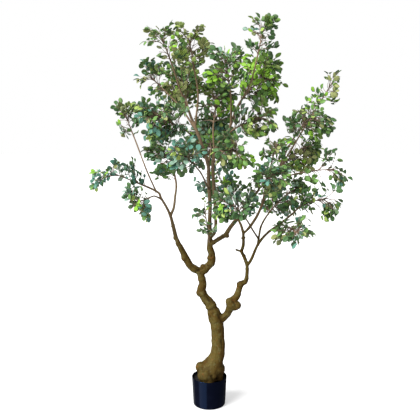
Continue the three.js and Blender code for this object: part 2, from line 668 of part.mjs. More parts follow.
const limbGroup = new THREE.Group();
for (const limb of limbs) {
  limbGroup.add(meshAt(limb.name, limb.solid, limb.curve.getPoint(0), COLOURS.bark, 0.75));
}
tree.add(limbGroup);

const crown = new THREE.Group();
MASSES.forEach((mass, massNumber) => {
  const foot = new THREE.Vector3(...mass.middle);
  crown.add(meshAt(mass.name, growMass(mass, massNumber), foot, COLOURS.foliage, 0.6));
});
tree.add(crown);

export default tree;
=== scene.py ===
# %% [markdown]
# # An artificial fringe flower tree in a plastic pot
#
# This lesson dresses a finished frame: a moulded trunk that forks low down, long wire boughs, a crown of
# small rounded cloth leaves and a dark plastic pot. The frame gives every piece its place and size. What
# follows gives them the surfaces that the eye sees: bark, gloss, twigs and leaves.
#
# Lengths are metres, apart from the tables that say millimetres. +Z is up, and the tree is seen from -Y.

# %% The frame
import math

import bmesh
import bpy
import numpy as np
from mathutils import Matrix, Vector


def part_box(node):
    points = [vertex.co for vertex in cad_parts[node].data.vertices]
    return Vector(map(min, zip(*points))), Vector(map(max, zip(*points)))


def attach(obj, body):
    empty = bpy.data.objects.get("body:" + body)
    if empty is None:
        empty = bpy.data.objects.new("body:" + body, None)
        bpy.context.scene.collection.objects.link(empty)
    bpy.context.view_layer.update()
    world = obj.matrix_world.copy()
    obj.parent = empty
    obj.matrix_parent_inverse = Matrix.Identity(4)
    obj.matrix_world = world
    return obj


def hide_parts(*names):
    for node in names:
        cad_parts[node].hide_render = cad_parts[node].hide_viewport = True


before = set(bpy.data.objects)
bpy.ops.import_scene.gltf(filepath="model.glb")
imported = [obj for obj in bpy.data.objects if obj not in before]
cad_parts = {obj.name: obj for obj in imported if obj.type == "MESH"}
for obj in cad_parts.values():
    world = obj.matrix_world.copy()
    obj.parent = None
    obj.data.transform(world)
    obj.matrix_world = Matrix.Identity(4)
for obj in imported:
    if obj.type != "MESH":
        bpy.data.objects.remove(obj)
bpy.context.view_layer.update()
print("nodes in the frame:", len(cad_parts))

# %% [markdown]
# ## The camera
#
# The picture was taken from about 3.3 m away at eye height, looking a little down: the pot's rim shows as
# a flat ellipse and its foot as a rounder one. The two ellipses give the distance and the pitch, and the
# height of the pot in the picture gives the focal length. The alternative, a camera placed by eye, never
# lines up both the pot and the crown.

# %% The camera
PICTURE_SIDE = 420
FOCAL_PIXELS = 598
SENSOR_WIDTH = 36
EYE = np.array([0.004, -3.3, 1.6])
PITCH_DOWN = math.radians(8)
AHEAD = np.array([0, math.cos(PITCH_DOWN), -math.sin(PITCH_DOWN)])
UPWARD = np.array([0, math.sin(PITCH_DOWN), math.cos(PITCH_DOWN)])


def picture_pairs(note, columns=2):
    """The numbers of a note, such as "95,172 93,184": pixels across and down in the picture, one row each."""
    return np.array([group.split(",") for group in note.split()], float).reshape(-1, columns)


def shown_at(places):
    """The pixels where places show: F x/d across and F h/d up from the middle, for the depth d ahead."""
    sight = places - EYE
    shares = np.stack([sight[:, 0], -(sight @ UPWARD)], axis=1) / (sight @ AHEAD)[:, None]
    return PICTURE_SIDE / 2 + FOCAL_PIXELS * shares


def seen_at(pixels, y):
    """The places at the depth y that show at the pixels: the eye plus t times AHEAD + a X + h UPWARD."""
    off = (pixels - PICTURE_SIDE / 2) / FOCAL_PIXELS
    rays = AHEAD + off[:, :1] * (1, 0, 0) - off[:, 1:] * UPWARD
    return EYE + rays * ((y - EYE[1]) / rays[:, 1:2])


lens = bpy.data.cameras.new("camera")
lens.sensor_width = SENSOR_WIDTH
lens.lens = FOCAL_PIXELS / PICTURE_SIDE * SENSOR_WIDTH
camera = bpy.data.objects.new("camera", lens)
camera.location = EYE
camera.rotation_euler = (math.pi / 2 - PITCH_DOWN, 0, 0)
bpy.context.collection.objects.link(camera)
bpy.context.scene.camera = camera
bpy.context.scene.view_settings.view_transform = "Standard"
print("lens of %.1f mm" % lens.lens)

# %% [markdown]
# ## Helpers for materials
#
# Plastic, cloth, paint and mortar each get one material of shader nodes. Set up by hand, a node takes a line
# for itself and one more for every socket. These helpers do it in one call, so that a material below reads
# like a recipe.

# %% Helpers for materials


class Nodes:
    """Adds nodes to a tree, fills their sockets and links them, in one call each."""

    def __init__(self, tree):
        self.tree = tree

    def set(self, node, values):
        """Fills sockets, found by name or number, with a link from an output or with a plain value."""
        for key, value in values.items():
            if isinstance(value, bpy.types.NodeSocket):
                self.tree.links.new(value, node.inputs[key])
            else:
                node.inputs[key].default_value = value

    def add(self, kind, values=None, **settings):
        """A new node. Settings are its own fields, and values go to its sockets."""
        node = self.tree.nodes.new("ShaderNode" + kind)
        for key, value in settings.items():
            setattr(node, key, value)
        self.set(node, values or {})
        return node

    def mix(self, factor, first, second):
        """A colour between the first and the second."""
        return self.add("Mix", {0: factor, 6: first, 7: second}, data_type="RGBA").outputs[2]

    def math(self, operation, first, second):
        """One Math node on two numbers or sockets."""
        return self.add("Math", {0: first, 1: second}, operation=operation).outputs[0]

    def ramp(self, value, low, high):
        """A value that runs from low to high, made to run from 0 to 1."""
        return self.add("MapRange", {"Value": value, "From Min": low, "From Max": high}).outputs["Result"]

    def group(self, tree, **values):
        """A shared group with its own values: its one output."""
        return self.add("Group", values, node_tree=tree).outputs[0]

    def bump(self, height, distance, strength):
        """The normal of a surface whose height changes a little."""
        values = {"Height": height, "Distance": distance, "Strength": strength}
        return self.add("Bump", values).outputs["Normal"]


def new_material(name, colour, roughness, values=None):
    """A material, the helper for its nodes, and its Principled shader. values go to the shader's sockets."""
    material = bpy.data.materials.new(name)
    material.use_nodes = True
    material.diffuse_color = (*colour, 1)
    nodes = Nodes(material.node_tree)
    shader = material.node_tree.nodes["Principled BSDF"]
    nodes.set(shader, {"Base Color": (*colour, 1), "Roughness": roughness, **(values or {})})
    return material, nodes, shader


print("materials so far:", len(bpy.data.materials))

# %% [markdown]
# ## The floor and the light
#
# A product picture of a plant is lit by one large soft source, here from the left and above, with white
# all round. A sun with a wide disc stands for the large source, because it lights the top and the foot of a
# tall tree alike, where a lamp close by would burn out the nearer leaves. The dark pot needs care: gloss
# shows what it mirrors, and white all round would turn it grey. So the white is all but hidden from
# mirrored rays, and two tall panels that only gloss can see draw the upright stripes on it. Seen from
# above, the wall mirrors what is lower than itself, so the panels reach down past the floor.

# %% The floor and the light
FLOOR_SIDE = 60.0
FLOOR_WHITE = 0.62
FLOOR_GLOW = 0.34
FLOOR_ROUGHNESS = 0.9
WHITE = (1, 1, 1, 1)
SKY_SEEN = 1.0
SKY_LIGHT = 0.82
SKY_MIRRORED = 0.05
SUN_STRENGTH = 5.7
SUN_DISC = math.radians(40)
SUN_TURN = (math.radians(50), 0, math.radians(-52))
# Each panel: the angle from the camera that it stands at, its width and its radiance.
PANELS = {"front_left": (-46, 2.4, 0.95), "far_left": (-150, 2.2, 0.32)}
PANEL_DISTANCE = 2.4
PANEL_LOW, PANEL_HIGH = -2.2, 0.9


def add_light(name, kind, place, turn, energy):
    """A lamp at a place, turned by Euler angles from pointing straight down."""
    data = bpy.data.lights.new(name, kind)
    data.energy = energy
    lamp = bpy.data.objects.new(name, data)
    lamp.location = place
    lamp.rotation_euler = turn
    bpy.context.collection.objects.link(lamp)
    return lamp


half_side = FLOOR_SIDE / 2
floor_mesh = bpy.data.meshes.new("floor")
floor_corners = [(x * half_side, y * half_side, 0) for x, y in ((-1, -1), (1, -1), (1, 1), (-1, 1))]
floor_mesh.from_pydata(floor_corners, [], [(0, 1, 2, 3)])
floor = bpy.data.objects.new("floor", floor_mesh)
floor_glow = {"Emission Color": WHITE, "Emission Strength": FLOOR_GLOW}
floor_white = new_material("floor_white", (FLOOR_WHITE,) * 3, FLOOR_ROUGHNESS, floor_glow)[0]
floor_mesh.materials.append(floor_white)
floor.visible_glossy = False
floor.visible_diffuse = False
bpy.context.collection.objects.link(floor)

sun = add_light("key", "SUN", (-3, -3, 5), SUN_TURN, SUN_STRENGTH)
sun.data.angle = SUN_DISC
for panel_name, (azimuth, width, radiance) in PANELS.items():
    angle = math.radians(azimuth)
    level = (PANEL_LOW + PANEL_HIGH) / 2
    place = (PANEL_DISTANCE * math.sin(angle), -PANEL_DISTANCE * math.cos(angle), level)
    turn = (math.pi / 2, 0, angle)
    area = width * (PANEL_HIGH - PANEL_LOW)
    panel = add_light("panel_" + panel_name, "AREA", place, turn, radiance * math.pi * area)
    panel.data.shape = "RECTANGLE"
    panel.data.size = width
    panel.data.size_y = PANEL_HIGH - PANEL_LOW
    panel.visible_diffuse = False

world = bpy.data.worlds.new("studio")
world.use_nodes = True
bpy.context.scene.world = world
sky = Nodes(world.node_tree)
ray = sky.add("LightPath").outputs
strength = SKY_LIGHT
for kind, value in (("Is Glossy Ray", SKY_MIRRORED), ("Is Camera Ray", SKY_SEEN)):
    strength = sky.add("Mix", {"Factor": ray[kind], "A": strength, "B": value}).outputs["Result"]
sky.set(world.node_tree.nodes["Background"], {"Color": WHITE, "Strength": strength})

# %% [markdown]
# ## From arrays to a mesh
#
# Every new surface below is worked out as whole arrays of places and corners. Blender could be asked for each
# vertex in turn, but a crown has hundreds of thousands of them, so these helpers hand whole arrays over.

# %% From arrays to a mesh


def add_piece(name, places, faces, materials=(), slots=None):
    """Makes an object at the origin. places is an array of points, faces a list of index arrays with 3 or 4
    columns, and slots the material slot of each face, in the same order."""
    mesh = bpy.data.meshes.new(name)
    sizes = np.concatenate([np.full(len(block), block.shape[1]) for block in faces])
    corners = np.concatenate([block.ravel() for block in faces])
    mesh.vertices.add(len(places))
    mesh.vertices.foreach_set("co", places.astype(np.float32).ravel())
    mesh.loops.add(len(corners))
    mesh.polygons.add(len(sizes))
    mesh.polygons.foreach_set("loop_start", (np.cumsum(sizes) - sizes).astype(np.int32))
    mesh.loops.foreach_set("vertex_index", corners.astype(np.int32))
    for material in materials:
        mesh.materials.append(material)
    if slots is not None:
        mesh.polygons.foreach_set("material_index", slots.astype(np.int32))
    mesh.update(calc_edges=True)
    mesh.shade_smooth()
    piece = bpy.data.objects.new(name, mesh)
    bpy.context.collection.objects.link(piece)
    return piece


def read_field(items, field, columns, kind=np.float32):
    """One field of a mesh's vertices, edges or faces as an array with a row for each."""
    flat = np.empty(columns * len(items), kind)
    items.foreach_get(field, flat)
    return flat.reshape(-1, columns)


def places_of(mesh):
    """The vertices of a mesh as an array."""
    return read_field(mesh.vertices, "co", 3).astype(float)


def edges_of(mesh):
    """The two vertex numbers of each edge of a mesh."""
    return read_field(mesh.edges, "vertices", 2, np.int32)


def triangles_in(piece):
    """How many triangles the faces of a piece make."""
    return int((read_field(piece.data.polygons, "loop_total", 1, np.int32) - 2).sum())


def unit(vectors):
    """The same directions with length one."""
    return vectors / np.maximum(np.linalg.norm(vectors, axis=-1, keepdims=True), 1e-9)


print("floor: %d triangles" % triangles_in(floor))

# %% [markdown]
# ## Smooth noise
#
# Moulded bark is never quite even. Noise worked out with numpy gives the same unevenness on every run. Value
# noise is the plainest kind: a fixed random number on each corner of a grid of cells, blended inside a cell.
# Sines would be quicker, but their waves repeat and show.

# %% Smooth noise
# Large odd numbers that scatter the corners' numbers well.
AXIS_FACTORS = np.array([73856093, 19349663, 83492791])
SEED_FACTOR, LAST_FACTOR = 2654435761, 1274126177
LAYER_SHIFT = 17.3


def noise(points, seed=0):
    """Value noise from -1 to 1. The corners of the unit cell round a point carry hashed numbers, blended with
    the weights t and 1 - t on each axis, where t is eased as 3t^2 - 2t^3."""
    cell = np.floor(points).astype(np.int64)
    t = points - cell
    t = t * t * (3 - 2 * t)
    total = np.zeros(len(points))
    for step in np.ndindex(2, 2, 2):
        x, y, z = ((cell + step) * AXIS_FACTORS).T
        key = x ^ y ^ z ^ (seed * SEED_FACTOR)
        key = (key ^ (key >> 13)) * LAST_FACTOR
        number = ((key ^ (key >> 16)) & 0xFFFF) / 32767.5 - 1
        total += number * np.prod(np.where(step, t, 1 - t), axis=1)
    return total


def layered_noise(points, seed=0, layers=3):
    """The sum of layers of noise, each twice as fine and half as strong as the one before."""
    return sum(noise(points * 2 ** k + LAYER_SHIFT * k, seed + k) / 2 ** k for k in range(layers))


sample = noise(np.linspace((0, 0, 0), (9, 7, 5), 200))
print("noise from %.2f to %.2f" % (sample.min(), sample.max()))

# %% [markdown]
# ## Limbs as curves
#
# The trunk and each bough follow one smooth curve through a few places, and taper along it. The places were
# read off the picture in pixels, given a depth by choice and turned into millimetres by the camera's
# formula, and some were then moved. The routes below repeat the frame's own, so the dressed limbs
# lie where its solids lie. The radii of some boughs were measured once more on the picture. A bough that
# carries foliage heads on for the middle of its mass, and ends where it enters it.

# %% Limbs as curves
GROUND = 0.1483
# Each limb: its radii, spread evenly from foot to tip, and the places that it passes, all in millimetres.
LIMBS = {
    "trunk": ((74, 76, 56, 43, 39, 37, 38.5, 37, 32),
        [(8, 0, 1000 * GROUND), (8, 0, 190), (26, 0, 240), (45, 0, 290), (51, 0, 350), (49, 0, 410),
         (44, 0, 475), (30, 0, 532), (18, 0, 566)]),
    "left_bough": ((31, 29, 26, 25, 21, 20, 21, 17, 11.8, 7.4, 6.6, 5.5),
        [(30, 0, 532), (8, 0, 588), (-22, 0, 630), (-45, 0, 672), (-37, 0, 712), (-45, 0, 750),
         (-58, 0, 785), (-108, -5, 822), (-153, -15, 912), (-184, -25, 982), (-215, -40, 1112),
         (-262, -52, 1206), (-296, -60, 1252)]),
    "left_upright": ((7.5, 6.5, 5.5),
        [(-215, -40, 1108), (-197, -20, 1151), (-191, 20, 1207), (-188, 70, 1286)]),
    "left_low": ((4.4, 4, 3.6),
        [(-257, -50, 1200), (-287, -85, 1221), (-307, -115, 1225)]),
    "left_rise": ((4.6, 4, 3.6),
        [(-288, -58, 1242), (-345, -20, 1362), (-405, 40, 1506)]),
    "centre_mast": ((21, 22, 22, 20, 18, 14, 11.5, 11, 10.5, 10, 9, 7, 5),
        [(-54, 0, 774), (-16, 3, 806), (12, 6, 838), (14, 10, 880), (3, 12, 920), (3, 15, 960),
         (2, 18, 1066), (4, 20, 1167), (-4, 27, 1300), (-7, 30, 1385), (-54, 40, 1534), (-102, 65, 1649),
         (-126, 120, 1728)]),
    "second_mast": ((12, 9.5, 9, 9.5, 10, 9.5, 8.5, 7, 5),
        [(3, 14, 975), (33, -6, 1020), (35, -10, 1110), (25, -14, 1266), (20, -20, 1388), (38, -30, 1481),
         (99, -40, 1570), (152, -45, 1701), (209, -10, 1782)]),
    "centre_right": ((13, 12.5, 12, 11, 8.5, 7),
        [(4, 13, 938), (64, -10, 981), (93, -22, 1004), (122, -40, 1053), (178, -85, 1133),
         (228, -135, 1214)]),
    "right_stem": ((23, 21, 24, 23, 18, 17, 17, 13, 10.5, 10.2, 10, 9.8, 8.8, 8.2, 7, 6, 5),
        [(48, 0, 492), (98, 0, 533), (118, 0, 575), (130, 0, 612), (158, 2, 645), (170, 5, 685),
         (182, 8, 712), (207, 10, 726), (214, 12, 765), (213, 15, 819), (197, 25, 867), (184, 30, 894),
         (193, 35, 931), (192, 42, 993), (180, 56, 1042), (153, 80, 1090), (114, 120, 1160)]),
    "right_inner": ((7, 8, 7.5, 6.5, 5.5),
        [(192, 42, 993), (230, 30, 1038), (274, 25, 1110), (316, 45, 1209), (355, 80, 1297),
         (415, 120, 1379)]),
    "right_high": ((5, 4.4, 4),
        [(379, 96, 1332), (431, 30, 1468), (477, -25, 1562)]),
    "right_peak": ((4.8, 4.3, 3.6),
        [(400, 110, 1358), (491, 70, 1522), (570, 60, 1660), (626, 75, 1748)]),
    "right_tip": ((4.8, 4.3, 3.8),
        [(319, 47, 1219), (419, 0, 1315), (523, -35, 1351)]),
    "right_near": ((4.8, 4.3, 3.8),
        [(297, 36, 1166), (316, -40, 1307), (332, -85, 1392)]),
    "right_outer": ((9.2, 8.4, 7.8, 7.4, 6.6, 5.6, 4.6),
        [(213, 15, 812), (238, 5, 856), (274, -10, 945), (325, -25, 1012), (390, -45, 1065),
         (452, -70, 1124), (508, -90, 1176)]),
    "right_hang": ((4.4, 4, 3.6),
        [(378, -41, 1056), (405, -100, 1066), (421, -145, 1066)]),
    "right_middle": ((6.6, 5.6, 4.6),
        [(272, -9, 938), (281, 25, 984), (301, 70, 1046), (364, 140, 1122)]),
    "cross_twig": ((5.2, 4.5, 3.8),
        [(278, 14, 970), (241, -50, 1029), (198, -120, 1104)]),
    "blue_side": ((5, 4.4, 4),
        [(-2, 24, 1246), (-39, -70, 1337), (-65, -130, 1379)]),
    "lower_left": ((5.6, 4.8, 4.2),
        [(-34, 36, 1470), (-104, -50, 1557), (-165, -110, 1600)]),
    "outer_left": ((5.6, 4.8, 4.2),
        [(-68, 45, 1569), (-157, 75, 1699), (-219, 90, 1765)]),
    "top_left": ((5.6, 4.8, 4.2),
        [(-90, 57, 1622), (-147, -10, 1766), (-196, -70, 1918)]),
    "top_middle": ((5.6, 4.8, 4.2),
        [(-79, 51, 1596), (-62, 55, 1769), (-84, 62, 1915)]),
    "back_low": ((5.6, 4.8, 4.2),
        [(28, -25, 1436), (21, 80, 1566), (27, 130, 1633)]),
    "side_spur": ((5.2, 4.4),
        [(76, -36, 1535), (144, -50, 1589)]),
    "green_front": ((5.2, 4.6, 4),
        [(118, -42, 1617), (114, -110, 1735), (108, -145, 1785)]),
    "top_sprig": ((5, 4.4, 3.8),
        [(160, -43, 1712), (214, -105, 1818), (250, -95, 1952)]),
    "middle_spur": ((4.8, 4.4, 4),
        [(34, -27, 1463), (68, -110, 1463), (93, -160, 1470)]),
    "back_dome": ((5.6, 5, 4.4),
        [(-7, 29, 1348), (-2, 130, 1407), (10, 210, 1461)]),
}
print("limbs:", len(LIMBS))

# %% [markdown]
# ## The masses of foliage
#
# Each mass keeps to the space round its middle, as far as its reach on each side. Its mood says which greens
# it is dealt, and its layers how many leaves lie behind one another on average, which is how much sky shows
# through it. Both follow the real crown: fresh green and full in the right dome, olive and open at the top
# left, blue-green in the shade low in the middle, with more deep green there, partly as painted shade, and
# thin at every tip.

# %% The masses of foliage
# Each mass: its bough, its middle and its reach in millimetres, its mood and its layers.
MASSES = {
    "left_spray": ("left_bough", (-492, -100, 1340), (184, 112, 92), "blue", 0.81),
    "left_upright": ("left_upright", (-225, 130, 1424), (164, 155, 136), "blue", 0.80),
    "left_low": ("left_low", (-373, -190, 1202), (98, 105, 112), "two_tone", 1.33),
    "left_rise": ("left_rise", (-458, 90, 1630), (108, 115, 128), "fresh", 1.00),
    "left_heart": ("centre_mast", (-154, 260, 1836), (148, 160, 165), "olive", 1.30),
    "blue_side": ("blue_side", (-109, -230, 1437), (120, 135, 112), "blue", 1.30),
    "lower_left": ("lower_left", (-250, -190, 1643), (154, 145, 140), "cool", 1.60),
    "outer_left": ("outer_left", (-308, 110, 1852), (118, 150, 128), "cool", 0.79),
    "top_left": ("top_left", (-234, -110, 2020), (124, 142, 112), "olive", 0.86),
    "top_middle": ("top_middle", (-104, 70, 2038), (118, 142, 142), "olive", 1.20),
    "back_dome": ("back_dome", (16, 340, 1528), (176, 155, 174), "cool", 1.60),
    "back_low": ("back_low", (39, 210, 1731), (134, 155, 156), "fresh", 1.40),
    "right_dome": ("second_mast", (290, 60, 1852), (142, 150, 164), "bright", 1.70),
    "side_spur": ("side_spur", (258, -70, 1636), (148, 142, 116), "fresh", 1.50),
    "green_front": ("green_front", (88, -200, 1890), (132, 132, 120), "bright", 1.60),
    "top_sprig": ("top_sprig", (276, -70, 2078), (98, 105, 112), "deep", 1.60),
    "middle": ("middle_spur", (126, -250, 1479), (120, 132, 128), "deep", 1.20),
    "centre_right": ("centre_right", (297, -240, 1334), (140, 132, 108), "cool", 1.50),
    "centre_low": ("right_stem", (70, 200, 1274), (142, 145, 120), "blue", 1.00),
    "right_inner": ("right_inner", (522, 190, 1458), (166, 142, 140), "fresh", 1.30),
    "right_high": ("right_high", (528, -90, 1636), (150, 138, 118), "deep", 1.30),
    "right_peak": ("right_peak", (668, 90, 1814), (94, 108, 104), "deep", 1.00),
    "right_tip": ("right_tip", (640, -60, 1364), (142, 132, 112), "deep", 0.72),
    "right_near": ("right_near", (347, -130, 1485), (98, 110, 98), "fresh", 1.40),
    "right_end": ("right_outer", (604, -110, 1207), (126, 126, 112), "cool", 1.10),
    "right_hang": ("right_hang", (444, -240, 1057), (122, 120, 112), "cool", 1.40),
    "right_middle": ("right_middle", (450, 230, 1184), (164, 148, 140), "cool", 1.30),
    "cross": ("cross_twig", (128, -230, 1195), (132, 120, 92), "blue", 1.60),
    "mast_sprig": ("centre_mast", (-20, -100, 1128), (76, 86, 138), "blue", 0.95),
}
SIDE_STARTS = {"mast_sprig": 0.36}
BOUGH_END = 0.8
SPACE_MARGIN = 0.02

NAMES = list(MASSES)
BOUGHS, middles, reaches, MOOD_NAMES, layers = zip(*MASSES.values())
MIDDLE = np.array(middles) / 1000
REACH = np.array(reaches) / 1000
LAYERS = np.array(layers)


def depths(places):
    """How far out each place lies in each mass's space: 0 at its middle, 1 at its edge. One row a place."""
    return np.linalg.norm((places[:, None] - MIDDLE) / REACH, axis=2)


def is_owned(places, owners, limit=1, margin=SPACE_MARGIN):
    """Whether each place is within limit times its owner's reach, and deeper in it than in any other's by the
    margin. With a margin below 0 the masses interlock."""
    deep = depths(places)
    rows = np.arange(len(places))
    own = deep[rows, owners].copy()
    deep[rows, owners] = np.inf
    return (own <= limit) & (deep.min(axis=1) > own + margin)


print("masses:", len(MASSES))

# %% [markdown]
# ## Smooth curves through the places
#
# A bough bends from each place to the next with no kink. A spline that passes through its places keeps each
# bend where it was chosen; a Bezier curve would cut the corners.

# %% Smooth curves through the places
NUDGE = 0.002
ENTRY_STEP = 0.005


def spline(places, shares):
    """The uniform Catmull-Rom spline: between two places a cubic whose slope at each place is half the step
    between its neighbours. Beyond each end the last step is repeated."""
    padded = np.vstack([2 * places[0] - places[1], places, 2 * places[-1] - places[-2]])
    position = np.clip(shares, 0, 1) * (len(places) - 1)
    index = np.minimum(position.astype(int), len(places) - 2)
    t = (position - index)[:, None]
    before, start, end, after = (padded[index + k] for k in range(4))
    slope_in = 0.5 * (end - before)
    slope_out = 0.5 * (after - start)
    return ((2 * t ** 3 - 3 * t ** 2 + 1) * start + (t ** 3 - 2 * t ** 2 + t) * slope_in
            + (3 * t ** 2 - 2 * t ** 3) * end + (t ** 3 - t ** 2) * slope_out)


class Limb:
    """One limb: at(shares) gives its axis, radius(shares) its radius, frame(shares) three axes along it."""

    def __init__(self, name):
        radii, route = (np.array(table) / 1000 for table in LIMBS[name])
        self.radii = radii[:, None]
        self.route = route
        self.end = 1.0
        for number, mass in enumerate(NAMES):
            if BOUGHS[number] == name and mass not in SIDE_STARTS:
                self.route = np.vstack([route, MIDDLE[number]])
                self.end = self.entry(number)
        chord = unit(self.route[-1] - self.route[0])
        choices = np.array([(0, -1, 0), (1, 0, 0), (0, 0, 1)])
        self.reference = choices[np.argmin(np.abs(choices @ chord))]

    def entry(self, number):
        """The first share of the curve that lies within the mass's reach times BOUGH_END."""
        shares = np.arange(0, 1, ENTRY_STEP)
        places = spline(self.route, shares)
        inside = is_owned(places, np.full(len(shares), number)) & (depths(places)[:, number] <= BOUGH_END)
        return shares[np.argmax(inside)]

    def at(self, shares):
        """Places on the axis."""
        return spline(self.route, shares * self.end)

    def radius(self, shares):
        """The radius there."""
        return spline(self.radii, shares)[:, 0]

    def frame(self, shares):
        """Along the limb, and two directions across it: the reference made square to the limb, and their
        cross product."""
        along = unit(self.at(np.minimum(shares + NUDGE, 1)) - self.at(np.maximum(shares - NUDGE, 0)))
        normal = unit(self.reference - (along @ self.reference)[:, None] * along)
        return along, normal, np.cross(along, normal)

    def length(self):
        """The length of the axis, from sixty places on it."""
        return np.linalg.norm(np.diff(self.at(np.linspace(0, 1, 60)), axis=0), axis=1).sum()


limbs = {name: Limb(name) for name in LIMBS}
print("longest limb: %.2f m" % max(limb.length() for limb in limbs.values()))

# %% [markdown]
# ## Tubes
#
# Trunk, boughs, twigs and leaf stalks are all tapering round rods. One function makes any number of them at
# once, from arrays of ring centres and radii. A curve with a bevel would do for one twig, but not for
# thousands that end up in one mesh.

# %% Tubes
MAIN_SIDES, MAIN_SPACING = 28, 0.006
COLLAR_LENGTH = 0.012


def wall_faces(rings, sides):
    """The faces of a closed wall whose corners are numbered ring by ring: quads between the rings, and a fan
    at each end round a middle point. The two middle points come last."""
    ring, side = np.meshgrid(np.arange(rings - 1), np.arange(sides), indexing="ij")
    after = (side + 1) % sides
    quads = np.stack([ring * sides + side, ring * sides + after, (ring + 1) * sides + after,
                      (ring + 1) * sides + side], axis=-1).reshape(-1, 4)
    edge = np.arange(sides)
    onward = (edge + 1) % sides
    top = (rings - 1) * sides
    low_fan = np.stack([np.full(sides, rings * sides), onward, edge], axis=1)
    high_fan = np.stack([np.full(sides, rings * sides + 1), top + edge, top + onward], axis=1)
    return quads, np.concatenate([low_fan, high_fan])


def tubes(centres, radii, sides, reference):
    """centres is tubes x rings x 3 and radii tubes x rings. A corner is centre + radius (cos a normal + sin a
    across), where normal is the reference made square to the tube. Both ends close on their centre."""
    count, rings = radii.shape
    along = unit(np.gradient(centres, axis=1))
    normal = unit(reference - (along * reference).sum(axis=2, keepdims=True) * along)
    across = np.cross(along, normal)
    angle = 2 * np.pi * np.arange(sides) / sides
    spokes = np.cos(angle)[:, None] * normal[:, :, None] + np.sin(angle)[:, None] * across[:, :, None]
    walls = (centres[:, :, None] + radii[:, :, None, None] * spokes).reshape(count, -1, 3)
    places = np.concatenate([walls, centres[:, :1], centres[:, -1:]], axis=1)
    shift = (np.arange(count) * places.shape[1])[:, None, None]
    faces = [(block + shift).reshape(-1, block.shape[1]) for block in wall_faces(rings, sides)]
    return places.reshape(-1, 3), faces


def joined(parts):
    """Several (places, faces) pairs as one, with the corners renumbered."""
    places = np.concatenate([part[0] for part in parts])
    starts = np.cumsum([0] + [len(part[0]) for part in parts[:-1]])
    return places, [block + start for (_, faces), start in zip(parts, starts) for block in faces]


def limb_tube(limb, sides, spacing, swell=0.0):
    """A limb's tube with rings about spacing apart. swell widens its foot, fading over COLLAR_LENGTH."""
    rings = max(int(limb.length() / spacing), 4)
    shares = np.linspace(0, 1, rings + 1)
    radii = limb.radius(shares) * (1 + swell * np.exp(-shares * limb.length() / COLLAR_LENGTH))
    return tubes(limb.at(shares)[None], radii[None], sides, limb.reference)


trunk_places = limb_tube(limbs["trunk"], MAIN_SIDES, MAIN_SPACING)[0]
print("corners of the trunk's own tube:", len(trunk_places))

# %% [markdown]
# ## The trunk and the main boughs
#
# The real trunk is a moulding: knots, root lumps and forks run into each other under one skin, and the pruned
# stubs belong to it. Tubes that only pass through each other would show a sharp crease at every fork. So the
# tubes, the swellings and the stubs are laid into one mesh, and a voxel remesh keeps their common outer skin.
# The frame has the first twelve swellings too. The rest are smaller ones that it leaves out.

# %% The trunk and the main boughs
MAIN_LIMBS = ["trunk", "left_bough", "centre_mast", "second_mast", "centre_right", "right_stem",
              "right_inner", "right_outer"]
VOXEL = 0.00275
# Each swelling: its middle and its size, in millimetres.
SWELLINGS = [
    ((-44, -12, 222), (36, 34, 32)), ((-34, -38, 182), (38, 36, 38)), ((52, -22, 205), (32, 36, 34)),
    ((40, 40, 190), (40, 38, 44)), ((-20, 44, 180), (38, 32, 34)), ((-50, 0, 664), (25, 24, 24)),
    ((-190, -26, 984), (13, 12, 15)), ((-34, 0, 812), (18, 18, 16)), ((142, -3, 588), (40, 30, 30)),
    ((175, 4, 708), (21, 21, 21)), ((98, -22, 994), (15, 14, 13)), ((36, -8, 1030), (13, 12, 13)),
    ((-16, -50, 188), (37, 32, 40)), ((118, -8, 611), (27, 26, 26)), ((128, -6, 596), (34, 28, 30)),
    ((66, 0, 205), (26, 40, 34)), ((-20, -4, 640), (16, 18, 20)), ((-176, -22, 950), (14, 13, 18)),
    ((-141, -18, 871), (18, 18, 22)), ((10, 6, 862), (24, 23, 18)), ((212, 12, 742), (15, 14, 15))]
# Each stub: its foot, its tip and the radii there, in millimetres.
STUBS = [
    ((184, 30, 894), (148, 26, 906), 6.5, 6), ((192, 39, 965), (178, 32, 973), 4.2, 2.4),
    ((192, 39, 965), (207, 40, 972), 4.2, 2.4), ((-198, -32, 1040), (-214, -36, 1050), 4.2, 2.2),
    ((-198, -32, 1040), (-190, -36, 1060), 4.2, 2.4)]


def ball(centre, size, sides=24, rings=14):
    """An ellipsoid as a tube whose rings shrink with the cosine of their latitude."""
    latitude = np.linspace(-np.pi / 2, np.pi / 2, rings + 1)[1:-1]
    centres = np.zeros((1, rings - 1, 3))
    centres[0, :, 2] = np.sin(latitude)
    places, faces = tubes(centres, np.cos(latitude)[None], sides, np.array((1.0, 0, 0)))
    return places * size + centre, faces


def stub_tube(foot, tip, foot_radius, tip_radius, rings=5):
    """A short straight rod, given in millimetres."""
    shares = np.linspace(0, 1, rings)[:, None]
    centres = (1 - shares) * foot + shares * np.array(tip)
    radii = np.linspace(foot_radius, tip_radius, rings)
    return tubes(centres[None] / 1000, radii[None] / 1000, 12, np.array((0, 0, 1.0)))


swelling_places, swelling_sizes = np.array(SWELLINGS).transpose(1, 0, 2) / 1000
parts = [limb_tube(limbs[name], MAIN_SIDES, MAIN_SPACING) for name in MAIN_LIMBS]
parts += [ball(centre, size) for centre, size in zip(swelling_places, swelling_sizes)]
parts += [stub_tube(*stub) for stub in STUBS]
rough_skin = add_piece("trunk_rough", *joined(parts))
remesh = rough_skin.modifiers.new("one_skin", "REMESH")
remesh.mode = "VOXEL"
remesh.voxel_size = VOXEL
skin = bpy.data.meshes.new_from_object(rough_skin.evaluated_get(bpy.context.evaluated_depsgraph_get()))
bpy.data.objects.remove(rough_skin)
print("skin faces:", len(skin.polygons))

